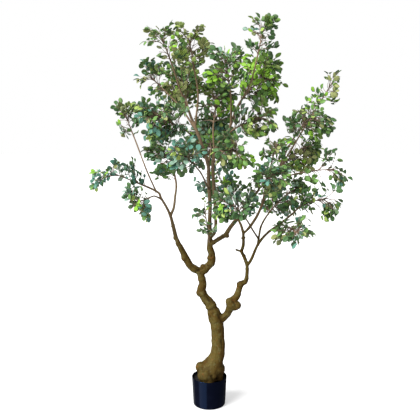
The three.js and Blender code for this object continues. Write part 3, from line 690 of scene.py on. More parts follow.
# %% [markdown]
# ## Knowing the nearest limb
#
# Bark runs along the limb that it covers, and foliage keeps clear of the limbs. Both need the same thing: for
# any place, the nearest limb, how far along it, and how far off its surface. Each limb is sampled every few
# millimetres, and the places are compared with all samples in blocks that fit the memory.

# %% Knowing the nearest limb
SAMPLE_STEP = 0.006
BLOCK = 4000


def sample_limbs(names):
    """Samples along the named limbs, as a dictionary with one array for each of the keys below."""
    rows = []
    for number, name in enumerate(names):
        limb = limbs[name]
        shares = np.linspace(0, 1, int(limb.length() / SAMPLE_STEP) + 2)
        rows.append((limb.at(shares), limb.radius(shares), *limb.frame(shares), shares * limb.length(),
                     np.full(len(shares), number)))
    keys = ("place", "radius", "along", "normal", "across", "arc", "limb")
    return {key: np.concatenate(column) for key, column in zip(keys, zip(*rows))}


def surface_distances(places, centres, radii):
    """The distance from each place to each ball's surface, negative inside."""
    return np.sqrt(((places[:, None] - centres) ** 2).sum(axis=2)) - radii


def in_blocks(function, places):
    """Calls the function on blocks of the places and joins what it gives."""
    return np.concatenate([function(places[i:i + BLOCK]) for i in range(0, len(places), BLOCK)])


main_samples = sample_limbs(MAIN_LIMBS)
swelling_radii = swelling_sizes.mean(axis=1)
print("samples on the main limbs:", len(main_samples["arc"]))

# %% [markdown]
# ## Softening the forks
#
# Where two limbs meet, the moulding is rounded. A vertex near the crease is close to the surfaces of two
# limbs at once, so the distance to the second nearest limb says how much to soften. The vertices there are
# moved towards the mean of their neighbours, again and again, while the rest keep their place.

# %% Softening the forks
FILLET = 0.009
SMOOTH_WEIGHT, SMOOTH_PASSES = 0.5, 3
SOFT_WEIGHT, SOFT_PASSES = 0.55, 22


def second_distance(places):
    """How far each place is from the surface of the second nearest limb or swelling."""
    near = surface_distances(places, main_samples["place"], main_samples["radius"])
    firsts = np.searchsorted(main_samples["limb"], np.arange(len(MAIN_LIMBS)))
    by_limb = np.minimum.reduceat(near, firsts, axis=1)
    by_swelling = surface_distances(places, swelling_places, swelling_radii)
    return np.partition(np.hstack([by_limb, by_swelling]), 1, axis=1)[:, 1]


def soften(places, edges, weights, passes):
    """Moves each place by its weight towards the mean of the places that it shares an edge with."""
    ends = np.concatenate([edges, edges[:, ::-1]])
    neighbours = np.bincount(ends[:, 0], minlength=len(places))[:, None]
    for _ in range(passes):
        sums = [np.bincount(ends[:, 0], places[ends[:, 1], axis], len(places)) for axis in range(3)]
        places = places + weights[:, None] * (np.stack(sums, axis=1) / neighbours - places)
    return places


edge_ends = edges_of(skin)
skin_places = places_of(skin)
crease = np.exp(-(np.maximum(in_blocks(second_distance, skin_places), 0) / FILLET) ** 2)
skin_places = soften(skin_places, edge_ends, np.full(len(skin_places), SMOOTH_WEIGHT), SMOOTH_PASSES)
skin_places = soften(skin_places, edge_ends, SOFT_WEIGHT * crease, SOFT_PASSES)
print("softened vertices:", int((crease > 0.3).sum()))

# %% [markdown]
# ## Folds and sleeves
#
# Deep folds part the roots and the forks, and here and there a sleeve of bark ends in a lip, where one
# moulded part was pushed into the next. Each has its own place, so they are listed here and not left to
# noise. Those in front lie as the picture shows them, and the last fold, at the back, is a guess.

# %% Folds and sleeves
LIP = 0.003
SLEEVE_SLANT = 0.12
# Each fold: where its line starts and ends, its width and its depth, in millimetres.
FOLDS = [
    ((30, -82, 146), (14, -74, 192), 8, 8), ((47, -72, 140), (52, -64, 164), 23, 17),
    ((-66, -50, 150), (-58, -40, 196), 10, 8), ((-46, -44, 214), (-30, -58, 220), 8, 4),
    ((44, -36, 575), (78, -28, 500), 6, 7), ((142, -34, 618), (152, -32, 585), 8, 4),
    ((-72, -18, 790), (-40, -20, 806), 6, 6), ((-10, 50, 150), (-4, 52, 215), 13, 16)]
# Each sleeve: its limb, where it starts and ends along it, and its height, in millimetres.
SLEEVES = [
    ("left_bough", 30, 82, 3.4), ("left_bough", 190, 222, 2.2), ("left_bough", 345, 372, 2.2),
    ("left_bough", 480, 500, 1.6), ("centre_mast", 52, 88, 2.4), ("centre_mast", 150, 170, 1.8),
    ("right_stem", 190, 222, 2.2), ("right_stem", 300, 312, 1.4), ("right_stem", 430, 440, 1.6),
    ("right_stem", 505, 515, 1.6), ("trunk", 345, 372, 2.2), ("centre_right", 108, 124, 2)]


def fold_depths(places):
    """How deep the folds are: depth exp(-(d/width)^2), d being the distance to the fold's line."""
    total = np.zeros(len(places))
    for start, end, width, depth in FOLDS:
        foot = np.array(start) / 1000
        line = np.subtract(end, start) / 1000
        share = np.clip((places - foot) @ line / (line @ line), 0, 1)
        away = np.linalg.norm(places - foot - share[:, None] * line, axis=1)
        total += depth / 1000 * np.exp(-(away / (width / 1000)) ** 2)
    return total


def sleeve_heights(axes, names):
    """Sleeves: a band along the limb between two arc lengths, raised by its height, with a lip at each end:
    height (tanh(1.5 (s - start) / lip) - tanh(1.5 (s - end) / lip)) / 2."""
    total = np.zeros(len(axes))
    for name, *sizes in SLEEVES:
        if name in names:
            start, end, height = np.array(sizes) / 1000
            arc_length = axes[:, 2] + SLEEVE_SLANT * axes[:, 0]
            band = (np.tanh(1.5 * (arc_length - start) / LIP) - np.tanh(1.5 * (arc_length - end) / LIP)) / 2
            total += height * band * (axes[:, 4] == names.index(name))
    return total


print("folds: %d, sleeves: %d" % (len(FOLDS), len(SLEEVES)))

# %% [markdown]
# ## Relief of the bark
#
# The moulding copies old smooth bark: soft lumps, shallow furrows that run along the limb, and low rings
# where a branch was. The relief is a height over the skin, worked out in each limb's own axes so that
# furrows and sleeves follow every bend. Three attributes are kept for the paint: the limb's axes, how
# hollow a place is, and how far it faces the key light, for the painted shade on the far flanks.

# %% Relief of the bark
LUMP_SHARE, LUMPS_A_METRE = 0.055, 34
FURROW_SHARE, FURROW_SCALES = 0.032, (95, 95, 16)
RING_SHARE, RINGS_A_METRE = 0.036, 42
LIMB_STEP = 9.1
RADIUS_CAP = 0.045
ROOTS_TOP, ROOTS_FADE, ROOTS_FURROWS = 0.26, 0.06, 0.15
HOLLOW_FURROWS, HOLLOW_LUMPS, HOLLOW_FOLDS = 0.35, 0.4, 60
# The direction towards the key light: bark that faces away from it is painted brown as shade.
KEY_LIGHT_SIDE = np.array((-0.78, -0.48, 0.40))


def limb_axes(places, samples):
    """For each place: its offset along the nearest limb's normal and across, the arc length, the limb's
    radius and the limb's number."""
    def one_block(block):
        nearest = surface_distances(block, samples["place"], samples["radius"]).argmin(axis=1)
        picked = {key: column[nearest] for key, column in samples.items()}
        offset = block - picked["place"]
        beside, across, onward = ((offset * picked[key]).sum(axis=1) for key in ("normal", "across", "along"))
        return np.stack([beside, across, picked["arc"] + onward, picked["radius"], picked["limb"]], axis=1)
    return in_blocks(one_block, places)


def set_places(mesh, places):
    """Moves the vertices of a mesh."""
    mesh.vertices.foreach_set("co", places.astype(np.float32).ravel())
    mesh.update()


def set_attribute(mesh, name, kind, values):
    """Stores one number or vector on each vertex."""
    key = "vector" if kind == "FLOAT_VECTOR" else "value"
    mesh.attributes.new(name, kind, "POINT").data.foreach_set(key, values.astype(np.float32).ravel())


def dress_bark(mesh, places, names):
    """Moves the mesh's vertices along its normals by the height of the bark, and stores the attributes for
    the paint. The height is lumps, furrows and rings, each in proportion to the limb's radius, plus the
    sleeves, less the folds."""
    set_places(mesh, places)
    normals = read_field(mesh.vertex_normals, "vector", 3)
    axes = limb_axes(places, sample_limbs(names))
    radius = np.minimum(axes[:, 3], RADIUS_CAP)
    lumps = layered_noise(places * LUMPS_A_METRE, seed=3)
    furrows = 1 - 2 * np.abs(layered_noise(axes[:, :3] * FURROW_SCALES, seed=8, layers=2))
    furrows *= np.clip((places[:, 2] - ROOTS_TOP) / ROOTS_FADE, ROOTS_FURROWS, 1)
    limb, onward = axes[:, 4], axes[:, 2]
    rings = noise(np.stack([limb * LIMB_STEP, np.zeros(len(places)), onward * RINGS_A_METRE], axis=1), seed=5)
    folds = fold_depths(places)
    height = radius * (LUMP_SHARE * lumps + FURROW_SHARE * furrows + RING_SHARE * rings)
    height += sleeve_heights(axes, names) - folds
    set_places(mesh, places + height[:, None] * normals)
    set_attribute(mesh, "grain", "FLOAT_VECTOR", axes[:, :3])
    hollow = 0.5 - HOLLOW_FURROWS * furrows - HOLLOW_LUMPS * lumps + HOLLOW_FOLDS * folds
    set_attribute(mesh, "hollow", "FLOAT", np.clip(hollow, 0, 1))
    # How far each place faces the key light, for the painted shade on the far flanks.
    set_attribute(mesh, "lit_side", "FLOAT", 0.5 + 0.5 * normals @ KEY_LIGHT_SIDE)
    print("relief from %.1f to %.1f mm" % (1000 * height.min(), 1000 * height.max()))


dress_bark(skin, skin_places, MAIN_LIMBS)

# %% [markdown]
# ## The flat cut
#
# The trunk stands on the pot's filling with a flat foot. The skin is cut at that height and closed, with a
# plane rather than a boolean, because a plane needs no second solid. The remesh and the cut leave a few small
# closed pockets inside the wood. Nobody sees them, but they would be stray faces in the mesh, so only the
# largest part of it is kept.

# %% The flat cut


def keep_outer_shell(mesh):
    """Removes all loose parts but the largest. Each vertex takes the lowest number among its neighbours'
    until nothing changes, so that a loose part ends with one number in common."""
    edges = edges_of(mesh)
    label = np.arange(len(mesh.vertices))
    before = None
    while not np.array_equal(before, label):
        before = label.copy()
        np.minimum.at(label, edges[:, 0], before[edges[:, 1]])
        np.minimum.at(label, edges[:, 1], before[edges[:, 0]])
        label = label[label]
    inner = np.flatnonzero(label != np.bincount(label).argmax())
    shell = bmesh.new()
    shell.from_mesh(mesh)
    shell.verts.ensure_lookup_table()
    bmesh.ops.delete(shell, geom=[shell.verts[number] for number in inner], context="VERTS")
    shell.to_mesh(mesh)
    shell.free()
    print("corners of inner pockets removed:", len(inner))


shell = bmesh.new()
shell.from_mesh(skin)
everything = shell.verts[:] + shell.edges[:] + shell.faces[:]
foot = {"plane_co": (0, 0, GROUND), "plane_no": (0, 0, 1)}
cut = bmesh.ops.bisect_plane(shell, geom=everything, clear_inner=True, **foot)
rim = [item for item in cut["geom_cut"] if isinstance(item, bmesh.types.BMEdge)]
bmesh.ops.holes_fill(shell, edges=rim)
shell.to_mesh(skin)
shell.free()
keep_outer_shell(skin)
skin.shade_smooth()
trunk = bpy.data.objects.new("trunk_and_main_boughs", skin)
bpy.context.collection.objects.link(trunk)
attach(trunk, "root")
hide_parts(*MAIN_LIMBS)
print("trunk and main boughs: %d triangles" % triangles_in(trunk))

# %% [markdown]
# ## The side boughs
#
# The thin boughs are wrapped wire of 7 to 15 mm. Each is a tube that starts inside the bough that it grows
# from and widens into a small collar there, so a fork reads as grown and not as stuck on. They get the same
# relief and paint as the trunk.

# %% The side boughs
SIDE_SIDES, SIDE_SPACING = 12, 0.005
COLLAR_SWELL = 0.5
side_names = [name for name in LIMBS if name not in MAIN_LIMBS]
side_tubes = [limb_tube(limbs[name], SIDE_SIDES, SIDE_SPACING, COLLAR_SWELL) for name in side_names]
side_boughs = add_piece("side_boughs", *joined(side_tubes))
dress_bark(side_boughs.data, places_of(side_boughs.data), list(LIMBS))
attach(side_boughs, "root")
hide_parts(*side_names)
print("side boughs: %d triangles" % triangles_in(side_boughs))

# %% [markdown]
# ## Shared groups of nodes
#
# Bark, plastic, filling and wires all need patches or grain. Each effect is one node group with named
# sockets, built once and placed in each material with its own values, which is easier to read and to change
# than the same nodes copied four times.

# %% Shared groups of nodes


def new_group(name, inputs, output):
    """An empty shader group with one output. inputs maps a name to its default, or to None for a vector."""
    group = bpy.data.node_groups.new(name, "ShaderNodeTree")
    for key, value in inputs.items():
        kind = "NodeSocketVector" if value is None else "NodeSocketFloat"
        socket = group.interface.new_socket(key, in_out="INPUT", socket_type=kind)
        if value is not None:
            socket.default_value = value
    group.interface.new_socket(output, in_out="OUTPUT", socket_type="NodeSocketFloat")
    return Nodes(group), group.nodes.new("NodeGroupInput").outputs, group.nodes.new("NodeGroupOutput")


def patches_group():
    """Soft patches: noise cut between a low and a high value, from 0 outside to 1 inside a patch."""
    inputs = {"Vector": None, "Scale": 10, "Low": 0.5, "High": 0.6}
    nodes, inlet, outlet = new_group("patches", inputs, "Mask")
    spots = nodes.add("TexNoise", {"Vector": inlet["Vector"], "Scale": inlet["Scale"], "Detail": 4})
    limits = {"Value": spots.outputs["Fac"], "From Min": inlet["Low"], "From Max": inlet["High"]}
    mask = nodes.add("MapRange", limits, interpolation_type="SMOOTHSTEP").outputs["Result"]
    nodes.set(outlet, {"Mask": mask})
    return nodes.tree


def grain_group():
    """Fine streaks: noise whose vector is stretched along its third axis."""
    nodes, inlet, outlet = new_group("grain", {"Vector": None, "Across": 300, "Along": 30}, "Height")
    stretch = nodes.add("CombineXYZ", {"X": inlet["Across"], "Y": inlet["Across"], "Z": inlet["Along"]})
    scaled = nodes.add("VectorMath", {0: inlet["Vector"], 1: stretch.outputs[0]}, operation="MULTIPLY")
    streaks = nodes.add("TexNoise", {"Vector": scaled.outputs[0], "Scale": 1, "Detail": 5, "Roughness": 0.6})
    nodes.set(outlet, {"Height": streaks.outputs["Fac"]})
    return nodes.tree


PATCHES = patches_group()
GRAIN = grain_group()
print("groups:", [group.name for group in bpy.data.node_groups])

# %% [markdown]
# ## Painted bark
#
# The moulding is warm brown with olive tan over it, and the flanks that face away from the key light are
# painted brown as shade. The hollows and folds are darker brown, and there are pale patches like lichen
# and a few orange-brown stains. The paint follows the limb's own axes, which the attribute named grain
# holds, so the streaks run up the trunk and out along every bough. One image could not be wrapped round
# the forks. The foot is painted darker towards the bottom. Higher up the boughs are wire in a greyish pink
# coating, and the paint gives way to it.

# %% Painted bark
# What a material shows until its nodes are linked.
GREY = (0.5, 0.5, 0.5)
OLIVE_TAN = (0.080, 0.055, 0.011, 1)
PALE_TAN = (0.092, 0.072, 0.021, 1)
WARM_BROWN = (0.064, 0.031, 0.004, 1)
DARK_BROWN = (0.022, 0.012, 0.003, 1)
LICHEN = (0.120, 0.112, 0.043, 1)
STAIN = (0.150, 0.054, 0.012, 1)
COATING = (0.215, 0.150, 0.098, 1)
BARK_ROUGHNESS = 0.62
# How far the streaks rise, and the strength that they are shown with.
BARK_BUMP = (0.0012, 0.8)
COATED_FROM, COATED_TO = 0.92, 1.35
# The bark is painted darker towards the bottom, from the first height down to the second.
FOOT_DARK_FROM, FOOT_DARK_TO = 0.27, 0.17


def bark_material():
    """Olive tan over brown, far flanks brown as painted shade, dark hollows, lichen, stains, a streaky bump."""
    material, nodes, shader = new_material("painted_bark", GREY, BARK_ROUGHNESS, {"Specular IOR Level": 0.06})
    place = nodes.add("TexCoord").outputs["Object"]
    level = nodes.add("SeparateXYZ", {"Vector": place}).outputs["Z"]
    grain = nodes.add("Attribute", attribute_name="grain").outputs["Vector"]
    hollow = nodes.add("Attribute", attribute_name="hollow").outputs["Fac"]
    lit_side = nodes.add("Attribute", attribute_name="lit_side").outputs["Fac"]

    def patches(scale, low, high):
        return nodes.group(PATCHES, Vector=place, Scale=scale, Low=low, High=high)

    def painted(colour, mask, strength, paint):
        return nodes.mix(nodes.math("MULTIPLY", mask, strength), colour, paint)

    streaks = nodes.group(GRAIN, Vector=grain, Across=170, Along=14)
    fine = nodes.group(GRAIN, Vector=grain, Across=620, Along=150)
    mottled = nodes.mix(patches(130, 0.42, 0.62), OLIVE_TAN, PALE_TAN)
    mottled = painted(mottled, patches(22, 0.45, 0.62), 0.6, WARM_BROWN)
    # Painted shade: the flanks that face away from the key light stay brown, with an uneven edge.
    ragged_lit_side = nodes.math("ADD", lit_side, nodes.math("MULTIPLY", patches(34, 0.30, 0.70), 0.3))
    colour = nodes.mix(nodes.ramp(ragged_lit_side, 0.45, 0.85), WARM_BROWN, mottled)
    for mask, strength, paint in (
            (nodes.ramp(streaks, 0.52, 0.74), 0.6, DARK_BROWN),
            (patches(44, 0.56, 0.68), 0.6, LICHEN),
            (patches(52, 0.62, 0.70), 0.6, STAIN),
            (nodes.ramp(hollow, 0.55, 0.95), 0.75, DARK_BROWN),
            (nodes.ramp(level, FOOT_DARK_FROM, FOOT_DARK_TO), 0.42, DARK_BROWN),
            (nodes.ramp(level, COATED_FROM, COATED_TO), 0.8, COATING)):
        colour = painted(colour, mask, strength, paint)
    height = nodes.math("ADD", nodes.math("MULTIPLY", streaks, 1.6), fine)
    nodes.set(shader, {"Base Color": colour, "Normal": nodes.bump(height, *BARK_BUMP)})
    return material


BARK = bark_material()
for piece in (trunk, side_boughs):
    piece.data.materials.clear()
    piece.data.materials.append(BARK)
print("nodes in the bark:", len(BARK.node_tree.nodes))

# %% [markdown]
# ## The pot
#
# The pot is a thin blow-moulded plastic one with a plain edge, a little wider at the rim than at the foot,
# and shallow dents near the foot where drain holes can be punched. It is a profile turned round +Z. The sizes
# of its rim and its height come from the frame's own pot.

# %% The pot
RIM_RADIUS, _, POT_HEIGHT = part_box("pot")[1]
FILLING_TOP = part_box("filling")[1][2]
FOOT_RADIUS = 0.0925
POT_WALL = 0.0024
POT_FLOOR = 0.003
EDGE_ROUND = 0.006
EDGE_STEPS = 7
WALL_STEPS = 40
POT_SIDES = 144
INNER_RING, OUTER_RING = 0.03, 0.07
SLACK = 0.001
DRAIN_DENTS = 8
DENT_LEVEL, DENT_RADIUS, DENT_DEPTH = 0.013, 0.007, 0.002


def arc(centre, radius, start, end, steps):
    """Points (radius, height) on a circle from one angle to another, in degrees."""
    angles = np.radians(np.linspace(start, end, steps))
    return np.stack([centre[0] + radius * np.cos(angles), centre[1] + radius * np.sin(angles)], axis=1)


def turned(profile, sides, push=None):
    """A profile of (radius, height) turned round +Z: a grid of profile steps by angles. Where the profile
    starts and ends on the axis, the first and the last ring close on one point. push(angle, radius, height)
    moves the wall outwards."""
    angle = 2 * np.pi * np.arange(sides) / sides
    radius, height = (np.repeat(profile[1:-1, k:k + 1], sides, axis=1) for k in range(2))
    if push:
        radius = radius + push(angle[None, :], radius, height)
    walls = np.stack([radius * np.cos(angle), radius * np.sin(angle), height], axis=-1)
    ends = np.array([(0, 0, profile[0, 1]), (0, 0, profile[-1, 1])])
    return np.concatenate([walls.reshape(-1, 3), ends]), wall_faces(len(walls), sides)


def pot_profile():
    """Up the outside, over the rounded edge, and down the inside to the floor."""
    foot = arc((FOOT_RADIUS - EDGE_ROUND, EDGE_ROUND), EDGE_ROUND, -90, 0, EDGE_STEPS)
    heights = np.linspace(EDGE_ROUND, POT_HEIGHT - POT_WALL / 2, WALL_STEPS)[1:, None]
    shares = (heights - EDGE_ROUND) / (POT_HEIGHT - EDGE_ROUND)
    outside = np.hstack([FOOT_RADIUS + (RIM_RADIUS - FOOT_RADIUS) * shares, heights])
    edge_middle = (RIM_RADIUS - POT_WALL / 2, POT_HEIGHT - POT_WALL / 2)
    edge = arc(edge_middle, POT_WALL / 2, 0, 180, EDGE_STEPS)[1:]
    inside = (outside - (POT_WALL, 0))[::-1][1::4]
    bottom = [(FOOT_RADIUS - EDGE_ROUND, POT_FLOOR), (INNER_RING, POT_FLOOR), (0, POT_FLOOR)]
    underside = [(0, 0), (INNER_RING, 0), (OUTER_RING, 0)]
    return np.concatenate([underside, foot, outside, edge, inside, bottom])


def drain_dents(angle, radius, height):
    """Round dents low in the outside, at even angles: depth exp(-(d/radius)^4), d from a dent's middle."""
    pitch = 2 * np.pi / DRAIN_DENTS
    around = ((angle + pitch / 2) % pitch - pitch / 2) * radius
    away = np.hypot(around, height - DENT_LEVEL)
    outside = radius > FOOT_RADIUS - SLACK
    return -DENT_DEPTH * outside * np.exp(-(away / DENT_RADIUS) ** 4)


pot = add_piece("pot_shell", *turned(pot_profile(), POT_SIDES, drain_dents))
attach(pot, "root")
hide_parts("pot")
print("pot: %d triangles, rim %.0f mm across" % (triangles_in(pot), 2000 * RIM_RADIUS))

# %% [markdown]
# ## Dark glossy plastic
#
# The plastic is a very dark navy that reads black where it mirrors nothing. Blow moulding leaves faint
# upright waves in the wall, which break the reflections into soft stripes, and handling leaves fine scuffs.
# Both are put in the roughness and the bump, not in the colour, as on the real thing.

# %% Dark glossy plastic
NAVY_BLACK = (0.0022, 0.0027, 0.0072, 1)
NAVY_DUST = (0.0036, 0.0045, 0.0110, 1)
BLUE_GLOSS = (0.16, 0.39, 1.0, 1)
PLASTIC_ROUGHNESS, SMOOTHEST, SCUFFED = 0.3, 0.13, 0.24
WAVE_BUMP = (0.0020, 0.4)


def plastic_material():
    """Dark navy with a dusty bloom, uneven gloss and shallow upright waves."""
    gloss = {"Specular IOR Level": 0.45, "Specular Tint": BLUE_GLOSS}
    material, nodes, shader = new_material("pot_plastic", GREY, PLASTIC_ROUGHNESS, gloss)
    place = nodes.add("TexCoord").outputs["Object"]
    dust = nodes.group(PATCHES, Vector=place, Scale=21, Low=0.45, High=0.75)
    scuffs = nodes.group(GRAIN, Vector=place, Across=60, Along=10)
    waves = nodes.group(GRAIN, Vector=place, Across=24, Along=1.5)
    roughness = nodes.add("MapRange", {"Value": scuffs, "To Min": SMOOTHEST, "To Max": SCUFFED})
    nodes.set(shader, {"Base Color": nodes.mix(nodes.math("MULTIPLY", dust, 0.6), NAVY_BLACK, NAVY_DUST),
                       "Roughness": roughness.outputs["Result"], "Normal": nodes.bump(waves, *WAVE_BUMP)})
    return material


pot.data.materials.append(plastic_material())
print("the pot's material:", pot.data.materials[0].name)

# %% [markdown]
# ## The filling
#
# The pot is filled with dark mortar up to 18 mm under its edge. It is poured, so its top is level with small
# lumps and a slight rise at the wall. It is turned like the pot, with the lumps added to its top.

# %% The filling
FILLING_GAP = 0.0006
FILLING_FOOT = 0.012
FILLING_EDGE = 0.020
FILLING_BEVEL = 0.01
TOP_RINGS = 34
FILLING_SIDES = 96
LUMP_HEIGHT, LUMP_SCALE = 0.0010, 90
RISE_HEIGHT, RISE_LENGTH, RISE_FROM = 0.002, 0.004, 0.06
MORTAR_ROUGHNESS = 0.85
MORTAR_BUMP = (0.002, 0.7)
MORTAR = (0.006, 0.005, 0.0045, 1)
GRIT = (0.022, 0.018, 0.014, 1)


def filling_piece():
    """A closed disc whose top is raised by noise, and near the wall by height exp(-d/length)."""
    wall = RIM_RADIUS - POT_WALL - FILLING_GAP
    slope = (RIM_RADIUS - FOOT_RADIUS) / (POT_HEIGHT - EDGE_ROUND)
    top_radius = wall - slope * (POT_HEIGHT - FILLING_TOP)
    low_radius = wall - slope * (POT_HEIGHT - FILLING_EDGE)
    top = np.stack([np.linspace(top_radius, 0, TOP_RINGS), np.full(TOP_RINGS, FILLING_TOP)], axis=1)
    foot = [(0, FILLING_FOOT), (low_radius - FILLING_BEVEL, FILLING_FOOT), (low_radius, FILLING_EDGE)]
    places, faces = turned(np.concatenate([foot, top]), FILLING_SIDES)
    is_top = places[:, 2] > FILLING_TOP - SLACK
    away = np.hypot(places[:, 0], places[:, 1])
    lumps = LUMP_HEIGHT * (layered_noise(places * LUMP_SCALE, seed=11) - 1) * (away < top_radius - SLACK)
    rise = RISE_HEIGHT * np.exp(-(top_radius - away) / RISE_LENGTH) * (away > RISE_FROM)
    places[:, 2] += is_top * (lumps + rise)
    return add_piece("pot_filling", places, faces)


def filling_material():
    """Near-black brown mortar with paler grit."""
    material, nodes, shader = new_material("dark_mortar", GREY, MORTAR_ROUGHNESS)
    place = nodes.add("TexCoord").outputs["Object"]
    grit = nodes.group(PATCHES, Vector=place, Scale=240, Low=0.56, High=0.68)
    lumps = nodes.add("TexNoise", {"Vector": place, "Scale": 160, "Detail": 6}).outputs["Fac"]
    normal = nodes.bump(lumps, *MORTAR_BUMP)
    nodes.set(shader, {"Base Color": nodes.mix(grit, MORTAR, GRIT), "Normal": normal})
    return material


filling = filling_piece()
filling.data.materials.append(filling_material())
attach(filling, "root")
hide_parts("filling")
print("filling: %d triangles" % triangles_in(filling))

# %% [markdown]
# ## The stems
#
# In each mass one stem runs on from the tip of its bough and bends towards the far side of its space. It is
# the same curve as the frame's, a quadratic one with three control points. A stem that leaves the side of its
# bough starts on the bough's axis. The last part of the bough and the stem together are the spine of the
# mass: every twig leaves from it, so twigs can also set out backwards and close the mass round its bough.

# %% The stems
STEM_PAST_MIDDLE = 0.4
STEM_LEAD = 0.45
SUNK = 0.003
SPINE_DEPTH = 1.35
SPINE_POINTS = 48


def bezier(control, shares):
    """The quadratic Bezier curve (1-t)^2 A + 2t(1-t) B + t^2 C for rows of three control points."""
    t = shares[..., None]
    a, b, c = (control[..., k, None, :] for k in range(3))
    return (1 - t) ** 2 * a + 2 * t * (1 - t) * b + t ** 2 * c


def bezier_slope(control, shares):
    """The unit direction of that curve: (1-t)(B-A) + t(C-B), made length one."""
    t = shares[..., None]
    a, b, c = (control[..., k, None, :] for k in range(3))
    return unit((1 - t) * (b - a) + t * (c - b))


def stem_control(name, number):
    """The foot, the bend and the end of a mass's stem."""
    bough = limbs[BOUGHS[number]]
    share = np.array([SIDE_STARTS.get(name, 1.0)])
    tip = bough.at(share)[0]
    to_middle = MIDDLE[number] - tip
    along = unit(to_middle) if name in SIDE_STARTS else bough.frame(share)[0][0]
    foot = tip if name in SIDE_STARTS else tip - SUNK * along
    end = MIDDLE[number] + STEM_PAST_MIDDLE * to_middle
    bend = foot + along * STEM_LEAD * np.linalg.norm(end - foot)
    return [foot, bend, end]


def spine_of(name, number):
    """Evenly spaced points along the bough, from where it comes within SPINE_DEPTH, and on along the stem."""
    bough_line = limbs[BOUGHS[number]].at(np.linspace(0, SIDE_STARTS.get(name, 1.0), 200))
    is_near = depths(bough_line)[:, number] < SPINE_DEPTH
    stem_line = bezier(STEMS[number], np.linspace(0, 1, 40))
    line = np.concatenate([bough_line[is_near][:-2], stem_line])
    run = np.concatenate([[0], np.cumsum(np.linalg.norm(np.diff(line, axis=0), axis=1))])
    even = np.linspace(0, run[-1], SPINE_POINTS)
    return np.stack([np.interp(even, run, line[:, axis]) for axis in range(3)], axis=1)


STEMS = np.array([stem_control(name, number) for number, name in enumerate(NAMES)])
SPINES = np.array([spine_of(name, number) for number, name in enumerate(NAMES)])
SPINE_WAYS = unit(np.gradient(SPINES, axis=1))
SPINE_STEPS = np.linalg.norm(SPINES[:, 1] - SPINES[:, 0], axis=1)
spine_lengths = 1000 * (SPINE_POINTS - 1) * SPINE_STEPS
print("spines from %.0f to %.0f mm" % (spine_lengths.min(), spine_lengths.max()))
